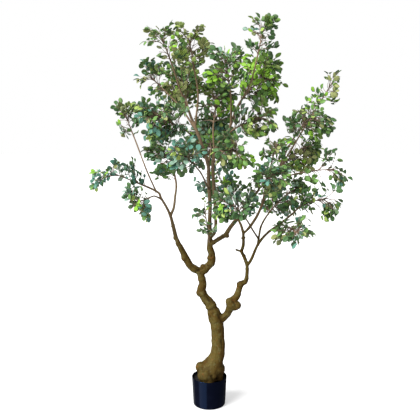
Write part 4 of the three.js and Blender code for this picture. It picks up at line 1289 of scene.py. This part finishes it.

# %% [markdown]
# ## Tips and openings
#
# A tree is known by its outline against the sky. Two things draw it, and both are read off the picture:
# the tips of the sprays that stand out, and the openings in the crown where the sky shows through.
# An early render beside the picture showed places that were still bare. They were added as tips, each in
# the mass with the most room there. Left to chance, the crown would be a cloud with no likeness.

# %% Tips and openings
# Where the tips of each mass show, in pixels across and down the picture.
TIPS = {
    "left_spray":
        "95,172 93,184 114,163 135,162 106,176 130,167 119,178 142,171 101,180 124,172 109,170 134,176 "
        "145,177 135,180 136,163 115,163 140,184",
    "left_upright":
        "160,172 149,149 154,147 147,147 142,151 154,156 161,155 152,161 172,148 158,164 166,175 174,172 "
        "153,177 150,141 168,166 182,147 144,150 150,148",
    "left_low":
        "131,186 125,194 129,199 133,204 135,211 138,198 148,198 151,207 138,207 145,212 142,218 148,217 "
        "141,190 146,205 150,200 127,190 147,216",
    "left_rise":
        "113,102 121,103 126,107 121,113 134,118 118,127 125,126 133,128 121,133 135,134 137,104 128,116 "
        "127,133 132,104 126,133 131,137",
    "left_heart":
        "174,59 183,60 170,63 178,73 166,80 192,76 200,64 196,90 186,95 205,84 165,72 178,88 172,96 "
        "160,88 190,64 202,74 168,104 184,106 166,96 177,104",
    "blue_side":
        "171,155 179,163 186,150 196,155 192,168 183,169 190,159 175,170 199,163 197,165 196,175 200,160",
    "lower_left":
        "152,130 168,128 186,124 145,136 150,140 155,139 184,112 136,104 147,105 138,110 143,120 155,112 "
        "150,128 166,114 173,119 160,134 168,138 173,131 157,98 163,106 178,106 163,124 140,104 170,100 "
        "157,138 172,135 181,131 186,126 186,111 180,118 163,132",
    "outer_left":
        "151,60 145,64 150,68 149,75 143,78 138,80 150,87 156,64 159,70 153,94 164,66 160,88 141,83 "
        "160,64 152,93 160,90",
    "top_left":
        "148,29 154,30 144,41 151,40 161,32 166,29 157,52 162,38 166,44 160,47 170,35 168,57 163,57 "
        "172,45 163,59 167,31 175,54",
    "top_middle":
        "178,57 176,51 182,66 208,54 180,21 187,31 200,31 194,36 200,36 175,42 182,46 205,41 203,46 "
        "209,48 190,45 183,56 195,55 178,37 186,64 203,57 192,62 205,60 210,43 195,66",
    "back_dome":
        "200,125 190,132 205,135 215,128 225,122 232,132 198,145 190,145 220,142 212,150 205,158 230,148 "
        "195,120 218,158 215,122 198,120",
    "back_low":
        "231,86 235,93 228,96 203,84 212,86 221,84 210,94 216,95 222,99 206,105 214,101 200,113 206,118 "
        "212,116 219,112 226,90 230,100 202,88 226,112 205,84 237,93 232,105 207,111 220,116 227,113 "
        "218,90 228,120",
    "right_dome":
        "236,80 276,57 268,54 239,92 247,98 243,78 262,53 256,63 270,59 281,61 279,67 282,54 277,80 "
        "276,86 272,91 268,98 262,104 248,63 242,86 244,70 258,95 266,72 260,82 252,90 277,99 250,76 "
        "273,70 252,53 260,57 270,57",
    "side_spur":
        "240,104 263,110 256,113 272,113 266,118 270,123 273,128 250,118 242,121 258,129 262,133 249,131 "
        "238,126 252,106 244,110 234,116 235,125 245,130 257,136 260,104 270,111 282,122",
    "green_front":
        "212,52 209,58 212,85 222,88 234,86 217,50 215,54 224,53 233,51 237,48 244,50 230,55 237,59 "
        "242,61 245,55 232,63 222,66 214,69 208,69 206,74 226,71 218,82 232,80 210,80 240,70 207,78 "
        "212,81 225,66 229,73 240,69 235,88 236,76 222,75 240,84",
    "top_sprig":
        "251,47 247,45 275,48 268,50 248,14 254,17 259,22 266,18 277,17 272,21 268,26 275,28 252,31 "
        "271,34 266,38 251,41 263,43 270,45 249,46 257,29 256,46 275,18 247,29 266,43",
    "middle":
        "217,160 224,168 220,134 227,140 236,138 244,144 241,149 239,156 249,157 252,163 245,165 237,166 "
        "228,163 222,168 232,158 216,150",
    "centre_right":
        "258,172 255,179 250,183 247,187 254,187 266,165 271,176 268,186 262,168 281,171 285,181 276,184 "
        "270,162 287,172 260,177",
    "centre_low":
        "200,186 225,186 196,185 204,182 222,175 226,181 235,184 240,190 214,192 222,193 208,192 231,186 "
        "215,181 227,198 235,182 242,188 225,195 215,165 228,184",
    "right_inner":
        "296,170 276,160 281,168 290,170 318,146 314,143 318,150 313,155 315,163 306,157 304,167 308,162 "
        "297,158 291,165 285,161 283,152 298,166 321,158 315,140 317,157",
    "right_high":
        "315,133 325,134 331,131 303,134 283,121 287,126 291,119 296,115 303,112 310,108 318,110 325,115 "
        "331,119 328,128 333,133 334,138 320,134 300,120 322,123 310,118 308,130 295,128 312,98 317,107 "
        "288,126 332,130",
    "right_peak":
        "330,73 335,75 328,79 339,79 333,84 338,92 318,88 314,91 315,97 322,94 328,97 338,104 328,88 "
        "317,93",
    "right_tip":
        "328,152 334,158 336,164 322,164 326,173 332,175 340,173 348,178 338,180 344,185 349,187 317,179 "
        "322,182 312,182 324,156 335,155 343,178 320,183 306,176",
    "right_near":
        "262,150 263,156 268,140 273,138 280,140 284,143 270,146 278,147 272,153 268,158 281,155 282,140 "
        "262,155",
    "right_end":
        "304,205 300,196 302,193 308,192 318,200 306,206 312,208 325,205 330,207 335,211 336,213 328,213 "
        "325,218 331,218 309,202 337,188 310,190 310,200",
    "right_hang":
        "300,215 307,214 305,221 298,220 289,222 275,230 276,236 278,241 284,236 291,232 293,237 308,230 "
        "311,234 303,232 299,239 298,246 283,228 297,227 276,235 292,243 280,226",
    "right_middle":
        "260,204 263,211 272,212 306,181 302,176 296,206 283,184 278,189 286,192 275,195 285,202 291,204 "
        "270,208 263,208 276,211 285,216 292,214 297,180 281,197 303,186 268,200 300,180 275,207 290,202 "
        "272,195 300,186 295,178",
    "cross":
        "219,214 229,214 256,206 240,193 251,194 235,207 247,200 252,204 245,210 253,212 225,203 215,198 "
        "217,212 228,212 212,206 223,218 240,209 230,200 222,208 240,202 245,217 220,219",
    "mast_sprig":
        "197,216 202,212 206,206 203,233 207,236 210,232 212,240 216,233 218,237 204,226 201,230 206,213",
}
# Where the sky shows through: across, down and radius, in pixels.
OPENINGS = (
    "145,35,3.5 146,50,6 190,25,5.5 208,32,7 190,61,2.5 139,71,5 134,72,4 143,93,6 147,83,2.5 156,81,2.5 "
    "203,97,4 180,120,4.5 112,118,6 142,126,4.5 114,137,4 138,97,3.5 146,128,2.5 188,177,6 117,187,7 "
    "100,160,6 125,160,4 143,163,3.5 88,176,4 346,156,5 124,208,6 142,203,2 129,219,6 153,213,4 196,200,6 "
    "197,225,4.5 200,174,5 248,22,5 248,35,4 278,38,6 242,38,4 279,23,3 228,46,4 210,61,4.5 222,60,2.5 "
    "285,66,3.5 286,77,6 283,91,6 277,120,4.5 281,111,4 261,123,3 273,136,5 212,107,2.5 322,79,5 "
    "341,86,2.5 342,97,5 290,107,6.5 302,103,5 336,125,3.5 283,113,3.5 250,148,5.5 252,171,4 224,174,3.5 "
    "237,172,3 262,141,4.5 257,160,4 300,147,3.5 323,140,4 297,139,2.5 332,197,6 317,213,5 270,216,3.5 "
    "308,242,7 286,247,6 313,222,5 247,173,4.5 259,191,3.5 234,192,2.5 329,111,2.5 176,112,2.5 168,38,2")
print("tips:", sum(len(picture_pairs(note)) for note in TIPS.values()))
print("openings:", len(picture_pairs(OPENINGS, 3)))

# %% [markdown]
# ## The twigs
#
# A twig sets out for a goal in the outer part of the space. The first goals of each mass are its chosen
# tips. The rest come from evenly spread numbers, the same sequence as in the frame carried on further, so
# the space fills evenly without a pattern. Plain random numbers would leave clumps and holes. A twig that
# would leave the space, touch a limb or end in an opening is skipped. A mass with more tips than its
# layers ask for carries its leaves more sparsely.

# %% The twigs
GOLDEN_STEP = 0.6180339887
SPREAD_STEPS = np.array([0.8191725134, 0.6710436067, 0.5497004779])
GOAL_DEPTH = (0.55, 1.00)
TWIG_TRIES = 140
SPRAY_COVER = 0.0019
TIP_SPREAD = 0.7
TWIG_SET_BACK = 0.60
TWIG_LEAD = 0.36
STOP_SHORT = 0.012
TWIG_LIMIT = 1.04
TESTED_SHARES = np.array([0.5, 0.75, 1.0])
INTERLOCK = 0.45
LIMB_CLEARANCE = 0.004
all_samples = sample_limbs(list(LIMBS))
BALL_PLACES = np.concatenate([all_samples["place"], swelling_places])
BALL_RADII = np.concatenate([all_samples["radius"], swelling_radii])


def is_clear(places):
    """Whether each place keeps clear of every limb."""
    gaps = in_blocks(lambda block: surface_distances(block, BALL_PLACES, BALL_RADII).min(axis=1), places)
    return gaps > LIMB_CLEARANCE


def is_open(places):
    """Whether each place shows in an opening: within its radius of its middle, in pixels."""
    across, down, radius = picture_pairs(OPENINGS, 3).T
    shown = shown_at(places)
    return (np.hypot(shown[:, :1] - across, shown[:, 1:] - down) < radius).any(axis=1)


def are_free(rows, owners, limit):
    """Whether all places of a row are their owner's and clear of the limbs, and the last hides no sky."""
    flat = rows.reshape(-1, 3)
    free = is_owned(flat, np.repeat(owners, rows.shape[1]), limit, -INTERLOCK) & is_clear(flat)
    return free.reshape(rows.shape[:2]).all(axis=1) & ~is_open(rows[:, -1])


def twig_goals():
    """Goals for every mass: a turn, a height and a depth from three spread numbers, carried to its space."""
    number = np.arange(len(NAMES))[:, None, None]
    order = np.arange(1, TWIG_TRIES + 1)[:, None]
    spread = (0.5 + number * GOLDEN_STEP + order * SPREAD_STEPS) % 1
    turn = 2 * np.pi * spread[..., 0]
    height = 2 * spread[..., 1] - 1
    level = np.sqrt(1 - height ** 2)
    depth = GOAL_DEPTH[0] + (GOAL_DEPTH[1] - GOAL_DEPTH[0]) * spread[..., 2]
    way = np.stack([level * np.cos(turn), level * np.sin(turn), height], axis=-1)
    return MIDDLE[:, None] + REACH[:, None] * depth[..., None] * way


def chosen_goals(number, name):
    """The goals read off the picture: where each pair shows at the depth of the mass's middle. It is moved along
    the line of sight, forwards or back in turn, as far as the space has room."""
    at_middle = seen_at(picture_pairs(TIPS[name]), MIDDLE[number, 1])
    off_middle = (at_middle - MIDDLE[number]) / REACH[number]
    room = np.sqrt(np.clip(1 - (off_middle ** 2).sum(axis=1), 0, 1))
    turns = 2 * (np.arange(len(room)) * GOLDEN_STEP % 1) - 1
    shift = TIP_SPREAD * room * turns * REACH[number, 1] / (MIDDLE[number, 1] - EYE[1])
    return at_middle + (at_middle - EYE) * shift[:, None]


def twig_controls(goals):
    """The control points of a twig to each goal. It leaves the spine at the nearest place, set back by a
    share of the distance, and first follows the spine. It stops short of the goal, for its last leaf."""
    gaps = np.linalg.norm(goals[:, :, None] - SPINES[:, None], axis=3)
    index = gaps.argmin(axis=2) - TWIG_SET_BACK * gaps.min(axis=2) / SPINE_STEPS[:, None]
    index = np.clip(np.round(index), 0, SPINE_POINTS - 3).astype(int)
    mass = np.arange(len(NAMES))[:, None]
    foot = SPINES[mass, index]
    lead = TWIG_LEAD * np.linalg.norm(goals - foot, axis=2, keepdims=True)
    bend = foot + lead * SPINE_WAYS[mass, index]
    return np.stack([foot, bend, goals - STOP_SHORT * unit(goals - bend)], axis=2)


goals = twig_goals()
chosen_counts = []
for number, name in enumerate(NAMES):
    chosen = chosen_goals(number, name)
    goals[number, :len(chosen)] = chosen
    chosen_counts.append(len(chosen))
controls = twig_controls(goals).reshape(-1, 3, 3)
owners = np.repeat(np.arange(len(NAMES)), TWIG_TRIES)
free = are_free(bezier(controls, TESTED_SHARES), owners, TWIG_LIMIT).reshape(len(NAMES), TWIG_TRIES)
outlines = np.pi * REACH[:, 0] * REACH[:, 2]
sprays_for_layers = LAYERS * outlines / SPRAY_COVER
wanted = np.maximum(np.round(sprays_for_layers), chosen_counts)[:, None]
kept = (free & (np.cumsum(free, axis=1) <= wanted)).ravel()
TWIGS = controls[kept]
TWIG_OWNERS = owners[kept]
twig_counts = np.bincount(TWIG_OWNERS)
LEAFINESS = np.minimum(sprays_for_layers / twig_counts, 1)
print("twigs:", len(TWIGS), "a mass:", twig_counts.min(), "to", twig_counts.max())

# %% [markdown]
# ## The shoots
#
# A long twig carries short shoots, left and right in turn, that leave it at an acute angle and lie in one
# plane with it, like the fingers of a flat hand. That plane faces outwards and to the sky, as it does in the
# frame. So each twig with its shoots is one spray. The end of a stem is leafy too and counts as a spray.

# %% The shoots
SHOOT_PLACES = np.array([0.50, 0.74])
PLACE_SPREAD = 0.08
SHOOT_ANGLE, ANGLE_SPREAD = math.radians(46), 0.18
WAY_SPREAD = 0.12
SHOOT_LENGTH = 0.046
LENGTH_SHARES = (0.7, 1.3)
SHOOT_BEND = 0.35
SHORT_TWIG = 0.080
SKYWARD = 0.4
SPRAY_TILT = 0.6
END_SHARE = np.array([0.7])
rng = np.random.default_rng(7)


def lengths_of(control):
    """The length of each quadratic curve, from nine places on it."""
    return np.linalg.norm(np.diff(bezier(control, np.linspace(0, 1, 9)), axis=1), axis=2).sum(axis=1)


def facing(places, owner, along, tilt):
    """The side of a spray that faces out: outwards from the mass's middle, leaned sideways by tilt and up by
    SKYWARD, then made square to the twig."""
    outward = unit(places - MIDDLE[owner])
    level = np.stack([-outward[:, 1], outward[:, 0], np.zeros(len(outward))], axis=1)
    normal = outward + tilt[:, None] * level + (0, 0, SKYWARD)
    return unit(normal - (normal * along).sum(axis=1, keepdims=True) * along)


SPRAYS = np.concatenate([TWIGS, STEMS])
SPRAY_OWNERS = np.concatenate([TWIG_OWNERS, np.arange(len(NAMES))])
spray_count = len(SPRAYS)
column = (spray_count, 1)
spray_tilt = rng.uniform(-SPRAY_TILT, SPRAY_TILT, spray_count)
end_ways = bezier_slope(SPRAYS, END_SHARE)[:, 0]
spray_face = facing(SPRAYS[:, 2], SPRAY_OWNERS, end_ways, spray_tilt)
is_long = lengths_of(SPRAYS) > SHORT_TWIG
shoot_rows = []
for order, share in enumerate(SHOOT_PLACES):
    side = np.where((np.arange(spray_count) + order) % 2, 1.0, -1.0)[:, None]
    at = share + rng.uniform(-PLACE_SPREAD, PLACE_SPREAD, column)
    foot = bezier(SPRAYS, at)[:, 0]
    along = bezier_slope(SPRAYS, at)[:, 0]
    across = unit(np.cross(along, spray_face)) * side
    angle = SHOOT_ANGLE + rng.normal(0, ANGLE_SPREAD, column)
    way = unit(np.cos(angle) * along + np.sin(angle) * across + rng.normal(0, WAY_SPREAD, (spray_count, 3)))
    length = SHOOT_LENGTH * rng.uniform(*LENGTH_SHARES, column)
    tip = foot + length * unit(way + SHOOT_BEND * along)
    shoot_rows.append(np.stack([foot, foot + 0.5 * length * way, tip], axis=1))
SHOOTS = np.concatenate(shoot_rows)
shoot_spray = np.tile(np.arange(spray_count), len(SHOOT_PLACES))
free = are_free(SHOOTS[:, 1:], SPRAY_OWNERS[shoot_spray], TWIG_LIMIT) & is_long[shoot_spray]
SHOOTS = SHOOTS[free]
shoot_spray = shoot_spray[free]
print("shoots:", len(SHOOTS))

# %% [markdown]
# ## Twigs and shoots as rods
#
# Stems, twigs and shoots are thin plastic-coated wires, pinkish brown, each kind thinner at its foot than
# the one before. They are tubes again, a few sides each, because most are only a pixel or two wide.

# %% Twigs and shoots as rods
# Each kind of wire: its radii at the foot and at the tip, its rings and its sides.
STEM_WIRE = (0.0042, 0.0014, 16, 8)
TWIG_WIRE = (0.0024, 0.0013, 8, 5)
SHOOT_WIRE = (0.0014, 0.0009, 5, 4)


def rods(control, foot_radius, tip_radius, rings, sides):
    """Tubes along quadratic curves. The reference is square to each rod's chord, so no ring turns over."""
    shares = np.linspace(0, 1, rings)
    chord = unit(control[:, 2] - control[:, 0])
    helper = np.where(np.abs(chord[:, 2:]) < 0.8, (0, 0, 1.0), (1.0, 0, 0))
    reference = unit(np.cross(chord, helper))[:, None]
    radii = np.broadcast_to(foot_radius * (1 - shares) + tip_radius * shares, (len(control), rings))
    return tubes(bezier(control, shares), radii, sides, reference)


wires = [rods(STEMS, *STEM_WIRE), rods(TWIGS, *TWIG_WIRE), rods(SHOOTS, *SHOOT_WIRE)]
twigs = add_piece("twigs", *joined(wires))
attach(twigs, "root")
print("twigs: %d triangles" % triangles_in(twigs))

# %% [markdown]
# ## Where the leaves sit
#
# Leaves sit in loose pairs along the outer part of each twig and shoot, with one at the tip. Such leaves
# are pushed onto the wires, never quite evenly, and here and there one is lost. So each pair is shifted a
# little by chance, and a few leaves are missing.

# %% Where the leaves sit
PAIR_SPACING = 0.0245
FIRST_PAIR = 0.011
PAIR_SPREAD = 0.004
MOST_PAIRS = 6
LEAFY_TWIG, LEAFY_SHOOT, LEAFY_STEM = 0.54, 0.85, 0.45
MISSING_SHARE = 0.08


def leaf_roots(control, spray, leafy_share):
    """Leaves along rods: pairs from the tip down over the leafy share of the length, and one at the tip.
    Gives the place, the direction of the rod, the spray, and the side: -1, 1, or 0 at the tip."""
    length = lengths_of(control)
    size = (len(control), MOST_PAIRS)
    back = FIRST_PAIR + PAIR_SPACING * np.arange(MOST_PAIRS) + rng.uniform(-PAIR_SPREAD, PAIR_SPREAD, size)
    found = []
    for side in (-1, 1, 0):
        from_tip = back + rng.uniform(-PAIR_SPREAD, PAIR_SPREAD, size) if side else 0 * back[:, :1]
        share = 1 - from_tip / length[:, None]
        used = share > 1 - leafy_share
        share = np.clip(share, 0, 1)
        found.append((bezier(control, share)[used], bezier_slope(control, share)[used],
                      np.broadcast_to(spray[:, None], share.shape)[used], np.full(used.sum(), side)))
    return [np.concatenate(column) for column in zip(*found)]


rows = [leaf_roots(TWIGS, np.arange(len(TWIGS)), LEAFY_TWIG), leaf_roots(SHOOTS, shoot_spray, LEAFY_SHOOT),
        leaf_roots(STEMS, np.arange(len(TWIGS), spray_count), LEAFY_STEM)]
place, along, spray, side = (np.concatenate(column) for column in zip(*rows))
present = rng.uniform(size=len(place)) < (1 - MISSING_SHARE) * LEAFINESS[SPRAY_OWNERS[spray]]
place, along, spray, side = (values[present] for values in (place, along, spray, side))
count = len(place)
leaf_owner = SPRAY_OWNERS[spray]
print("places for leaves:", count)

# %% [markdown]
# ## How the leaves are turned
#
# Each pair leaves its rod sideways in the plane of the spray. Then every leaf is turned a little by chance,
# because whoever bends a cloth leaf into place never does it twice alike. Inside a mass the wires are bare,
# so the chance that a leaf is kept grows with the square of its distance from the middle. A leaf that would
# leave the space, touch a limb or lie in an opening is left off.

# %% How the leaves are turned
LEAF_ANGLE = math.radians(56)
PAIR_SWING, TIP_SWING = 0.22, 0.25
LEAF_TILT = 0.15
DROOP, DROOP_SPREAD = 0.20, 0.20
ROLL_SPREAD = 0.38
STALK = 0.006
LEAF_LENGTH = 0.0328
SIZE_SPREAD, SMALLEST, LARGEST = 0.12, 0.7, 1.25
LEAF_LIMIT = 1.03
BARE_INSIDE = 0.8
face = facing(place, leaf_owner, along, spray_tilt[spray] + rng.normal(0, LEAF_TILT, count))
tip_swing = rng.normal(0, TIP_SWING, count)
pair_swing = side * (LEAF_ANGLE + rng.normal(0, PAIR_SWING, count))
swing = np.where(side == 0, tip_swing, pair_swing)[:, None]
heading = np.cos(swing) * along + np.sin(swing) * np.cross(along, face)
droop = rng.normal(DROOP, DROOP_SPREAD, count)[:, None]
heading = np.cos(droop) * heading - np.sin(droop) * face
face = unit(face - (face * heading).sum(axis=1, keepdims=True) * heading)
roll = rng.normal(0, ROLL_SPREAD, count)[:, None]
face = np.cos(roll) * face + np.sin(roll) * np.cross(heading, face)
size = LEAF_LENGTH * np.clip(rng.normal(1, SIZE_SPREAD, count), SMALLEST, LARGEST)
root = place + STALK * heading
middle = root + 0.5 * size[:, None] * heading
own_depth = depths(middle)[np.arange(count), leaf_owner]
is_outer = rng.uniform(size=count) < (own_depth / BARE_INSIDE) ** 2
stays = are_free(middle[:, None], leaf_owner, LEAF_LIMIT) & is_outer
columns = (place, root, heading, face, size, spray, leaf_owner)
place, root, heading, face, size, spray, leaf_owner = (values[stays] for values in columns)
print("leaves:", len(root), "of", count)

# %% [markdown]
# ## The shape of a leaf
#
# A leaf is 33 mm long and 24 mm wide, rounded, with its widest place past the middle and a short blunt tip.
# Pressed cloth keeps a fold along the midrib, lifts its edges and droops at the tip. The blade is a small
# grid of two parameters, along and across. It has two sides that meet at the outline, so that each side can
# take its own green, and a few differently bent versions are enough for the eye.

# %% The shape of a leaf
LEAF_ROWS = 6
LEAF_COLUMNS = 5
LEAF_WIDTH_SHARE = 0.74
LEAF_THICKNESS_SHARE = 0.014
LOWER_SIDE_SHARE = 0.4
# Each bend of a blade: its fold, its curl and its wave.
LEAF_BENDS = [(0.22, 0.30, 0.02), (0.35, 0.10, -0.03), (0.12, 0.45, 0.04), (0.28, -0.12, 0.03),
              (0.42, 0.24, -0.05), (0.05, 0.20, 0.05)]


def leaf_blade(fold, curl, wave):
    """The two sides of a leaf of length one along +Y, facing +Z. It is w sin(pi y^1.15)^0.62 wide, and its
    height is fold |x| - curl y^2 + 4 wave sin(7y) |x|. The upper side is raised by the thickness times
    (1 - v^2) sqrt(sin(pi y)), and the lower one is sunk by a share of that."""
    u = ((1 - np.cos(np.pi * np.arange(1, LEAF_ROWS) / LEAF_ROWS)) / 2)[:, None]
    v = np.linspace(-1, 1, LEAF_COLUMNS)[None, :]
    x = v * 0.5 * LEAF_WIDTH_SHARE * np.sin(np.pi * u ** 1.15) ** 0.62
    y = np.broadcast_to(u, x.shape)
    z = fold * np.abs(x) - curl * y ** 2 + 4 * wave * np.sin(7 * y) * np.abs(x)
    rise = LEAF_THICKNESS_SHARE * (1 - v ** 2) * np.sin(np.pi * u) ** 0.5
    upper = np.stack([x, y, z + rise], axis=-1).reshape(-1, 3)
    lower = np.stack([x, y, z - LOWER_SIDE_SHARE * rise], axis=-1)[:, 1:-1].reshape(-1, 3)
    return np.concatenate([upper, lower, [(0, 0, 0), (0, 1, -curl)]])


def leaf_faces():
    """The corners of both sides: a grid with a fan at each end. The lower side shares the outline."""
    rows, columns = LEAF_ROWS - 1, LEAF_COLUMNS
    upper = np.arange(rows * columns).reshape(rows, columns)
    lower = upper.copy()
    lower[:, 1:-1] = rows * columns + np.arange(rows * (columns - 2)).reshape(rows, columns - 2)
    foot = rows * columns + rows * (columns - 2)
    quads, fans = [], []
    for grid, order in ((upper, 1), (lower, -1)):
        quad = np.stack([grid[:-1, :-1], grid[:-1, 1:], grid[1:, 1:], grid[1:, :-1]], axis=-1).reshape(-1, 4)
        low = np.stack([np.full(columns - 1, foot), grid[0, 1:], grid[0, :-1]], axis=1)
        high = np.stack([np.full(columns - 1, foot + 1), grid[-1, :-1], grid[-1, 1:]], axis=1)
        quads.append(quad[:, ::order])
        fans.append(np.concatenate([low, high])[:, ::order])
    return quads, fans


BLADES = np.array([leaf_blade(*bend) for bend in LEAF_BENDS])
LEAF_QUADS, LEAF_FANS = leaf_faces()
triangles = 2 * sum(map(len, LEAF_QUADS)) + sum(map(len, LEAF_FANS))
print("triangles a leaf:", triangles, "in all:", triangles * len(root))

# %% [markdown]
# ## Greens
#
# Cloth leaves are printed in batches, so a spray comes in one green and the next in another. Each green is a
# material with one base colour and a soft sheen, and each has a paler underside. Patterns across a crown of
# joined leaves would not survive the export, so the variety comes from dealing out the materials.

# %% Greens
GREENS = {
    "deep_green": (0.066, 0.143, 0.050),
    "leaf_green": (0.130, 0.258, 0.062),
    "bright_green": (0.200, 0.392, 0.036),
    "yellow_green": (0.300, 0.405, 0.095),
    "olive_green": (0.245, 0.272, 0.099),
    "blue_green": (0.086, 0.216, 0.160),
    "grey_green": (0.198, 0.312, 0.232),
}
# Each mood: how often it is dealt each of the greens, in their order.
MOODS = {
    "bright": (0.24, 0.26, 0.40, 0.06, 0.03, 0.00, 0.01),
    "fresh": (0.26, 0.32, 0.16, 0.12, 0.12, 0.00, 0.02),
    "deep": (0.42, 0.32, 0.08, 0.04, 0.10, 0.02, 0.02),
    "olive": (0.12, 0.26, 0.06, 0.18, 0.34, 0.00, 0.04),
    "cool": (0.34, 0.28, 0.04, 0.04, 0.08, 0.13, 0.09),
    # The blue and two-tone moods are dealt more deep green, partly as painted shade low in the crown.
    "blue": (0.36, 0.22, 0.02, 0.03, 0.03, 0.24, 0.10),
    "two_tone": (0.30, 0.16, 0.18, 0.18, 0.00, 0.12, 0.06),
}
CLOTH = {"Sheen Weight": 0.05, "Sheen Roughness": 0.4, "Specular IOR Level": 0.2}
LEAF_ROUGHNESS = 0.48
UNDERSIDE_ROUGHNESS = 0.6
UNDERSIDE_PALER = 0.35
UNDERSIDE_TONE = np.array((0.20, 0.26, 0.15))
STRAY_SHARE = 0.22

uppers = [new_material(name, colour, LEAF_ROUGHNESS, CLOTH)[0] for name, colour in GREENS.items()]
lowers = []
for name, colour in GREENS.items():
    paler = np.array(colour) * (1 - UNDERSIDE_PALER) + UNDERSIDE_PALER * UNDERSIDE_TONE
    lowers.append(new_material(name + "_underside", paler, UNDERSIDE_ROUGHNESS, CLOTH)[0])
chances = np.cumsum([MOODS[mood] for mood in MOOD_NAMES], axis=1)
chances /= chances[:, -1:]


def deal(owner):
    """One green for each owner by its mood: the first whose running chance passes a random number."""
    return (rng.uniform(size=len(owner))[:, None] > chances[owner]).sum(axis=1)


spray_green = deal(SPRAY_OWNERS)
is_stray = rng.uniform(size=len(root)) < STRAY_SHARE
leaf_green = np.where(is_stray, deal(leaf_owner), spray_green[spray])
print("leaves of each green:", dict(zip(GREENS, np.bincount(leaf_green, minlength=len(GREENS)))))

# %% [markdown]
# ## Leaves in four pieces
#
# All leaves of one part of the crown are joined into one piece. That keeps each piece small enough to be
# exported whole, and the crown to four pieces instead of thousands of objects.

# %% Leaves in four pieces
CROWN_PARTS = {
    "leaves_left": "left_spray left_upright left_low left_rise left_heart blue_side lower_left outer_left",
    "leaves_top": "top_left top_middle back_low right_dome green_front top_sprig",
    "leaves_middle": "back_dome side_spur middle centre_low cross mast_sprig",
    "leaves_right": "centre_right right_inner right_high right_peak right_tip right_near right_end "
                    "right_hang right_middle",
}
blade_kind = rng.integers(len(BLADES), size=len(root))
width_way = np.cross(heading, face)


def leaf_piece(name, chosen):
    """The chosen leaves as one mesh: root + size (x width + y heading + z face) for every blade vertex."""
    blade = BLADES[blade_kind[chosen]]
    axes = np.stack([width_way[chosen], heading[chosen], face[chosen]], axis=1)
    places = root[chosen][:, None] + size[chosen][:, None, None] * (blade @ axes)
    shift = (np.arange(len(chosen)) * blade.shape[1])[:, None, None]
    faces, slots = [], []
    for corners in (LEAF_QUADS, LEAF_FANS):
        for lower, block in enumerate(corners):
            faces.append((block + shift).reshape(-1, block.shape[1]))
            slots.append(np.repeat(leaf_green[chosen] + lower * len(GREENS), len(block)))
    piece = add_piece(name, places.reshape(-1, 3), faces, uppers + lowers, np.concatenate(slots))
    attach(piece, "root")
    return piece


for part_name, stems in CROWN_PARTS.items():
    numbers = [NAMES.index(stem) for stem in stems.split()]
    nodes_here = [stem + "_leaves" for stem in stems.split()]
    leaves = leaf_piece(part_name, np.flatnonzero(np.isin(leaf_owner, numbers)))
    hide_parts(*nodes_here)
    print(part_name, triangles_in(leaves), "triangles")

# %% [markdown]
# ## Leaf stalks
#
# A short stalk joins each leaf to its twig. It is a three-sided rod from the twig's axis into the blade.

# %% Leaf stalks
STALK_WIRE = (0.0008, 0.0006, 2, 3)
STALK_OVERLAP = 0.12
stalk_ends = root + STALK_OVERLAP * size[:, None] * heading
stalk_control = np.stack([place, 0.5 * (place + stalk_ends), stalk_ends], axis=1)
stalks = add_piece("leaf_stalks", *rods(stalk_control, *STALK_WIRE))
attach(stalks, "root")
print("stalks: %d triangles" % triangles_in(stalks))

# %% [markdown]
# ## Twig paint
#
# The wires are coated in a dull pinkish brown, darker in patches, and the stalks in a light green-brown.

# %% Twig paint
WIRE_ROUGHNESS = 0.55
TWIG_PINK = (0.260, 0.180, 0.125, 1)
TWIG_BROWN = (0.120, 0.076, 0.048, 1)
STALK_LIGHT = (0.180, 0.165, 0.070, 1)
STALK_DARK = (0.090, 0.085, 0.035, 1)


def coated_wire(name, light, dark):
    """A dull coating whose two browns change in patches along the wires."""
    material, nodes, shader = new_material(name, GREY, WIRE_ROUGHNESS)
    place = nodes.add("TexCoord").outputs["Object"]
    patch = nodes.group(PATCHES, Vector=place, Scale=45, Low=0.42, High=0.6)
    nodes.set(shader, {"Base Color": nodes.mix(patch, light, dark)})
    return material


twigs.data.materials.append(coated_wire("twig_coating", TWIG_PINK, TWIG_BROWN))
stalks.data.materials.append(coated_wire("stalk_coating", STALK_LIGHT, STALK_DARK))
print("materials:", len(bpy.data.materials))
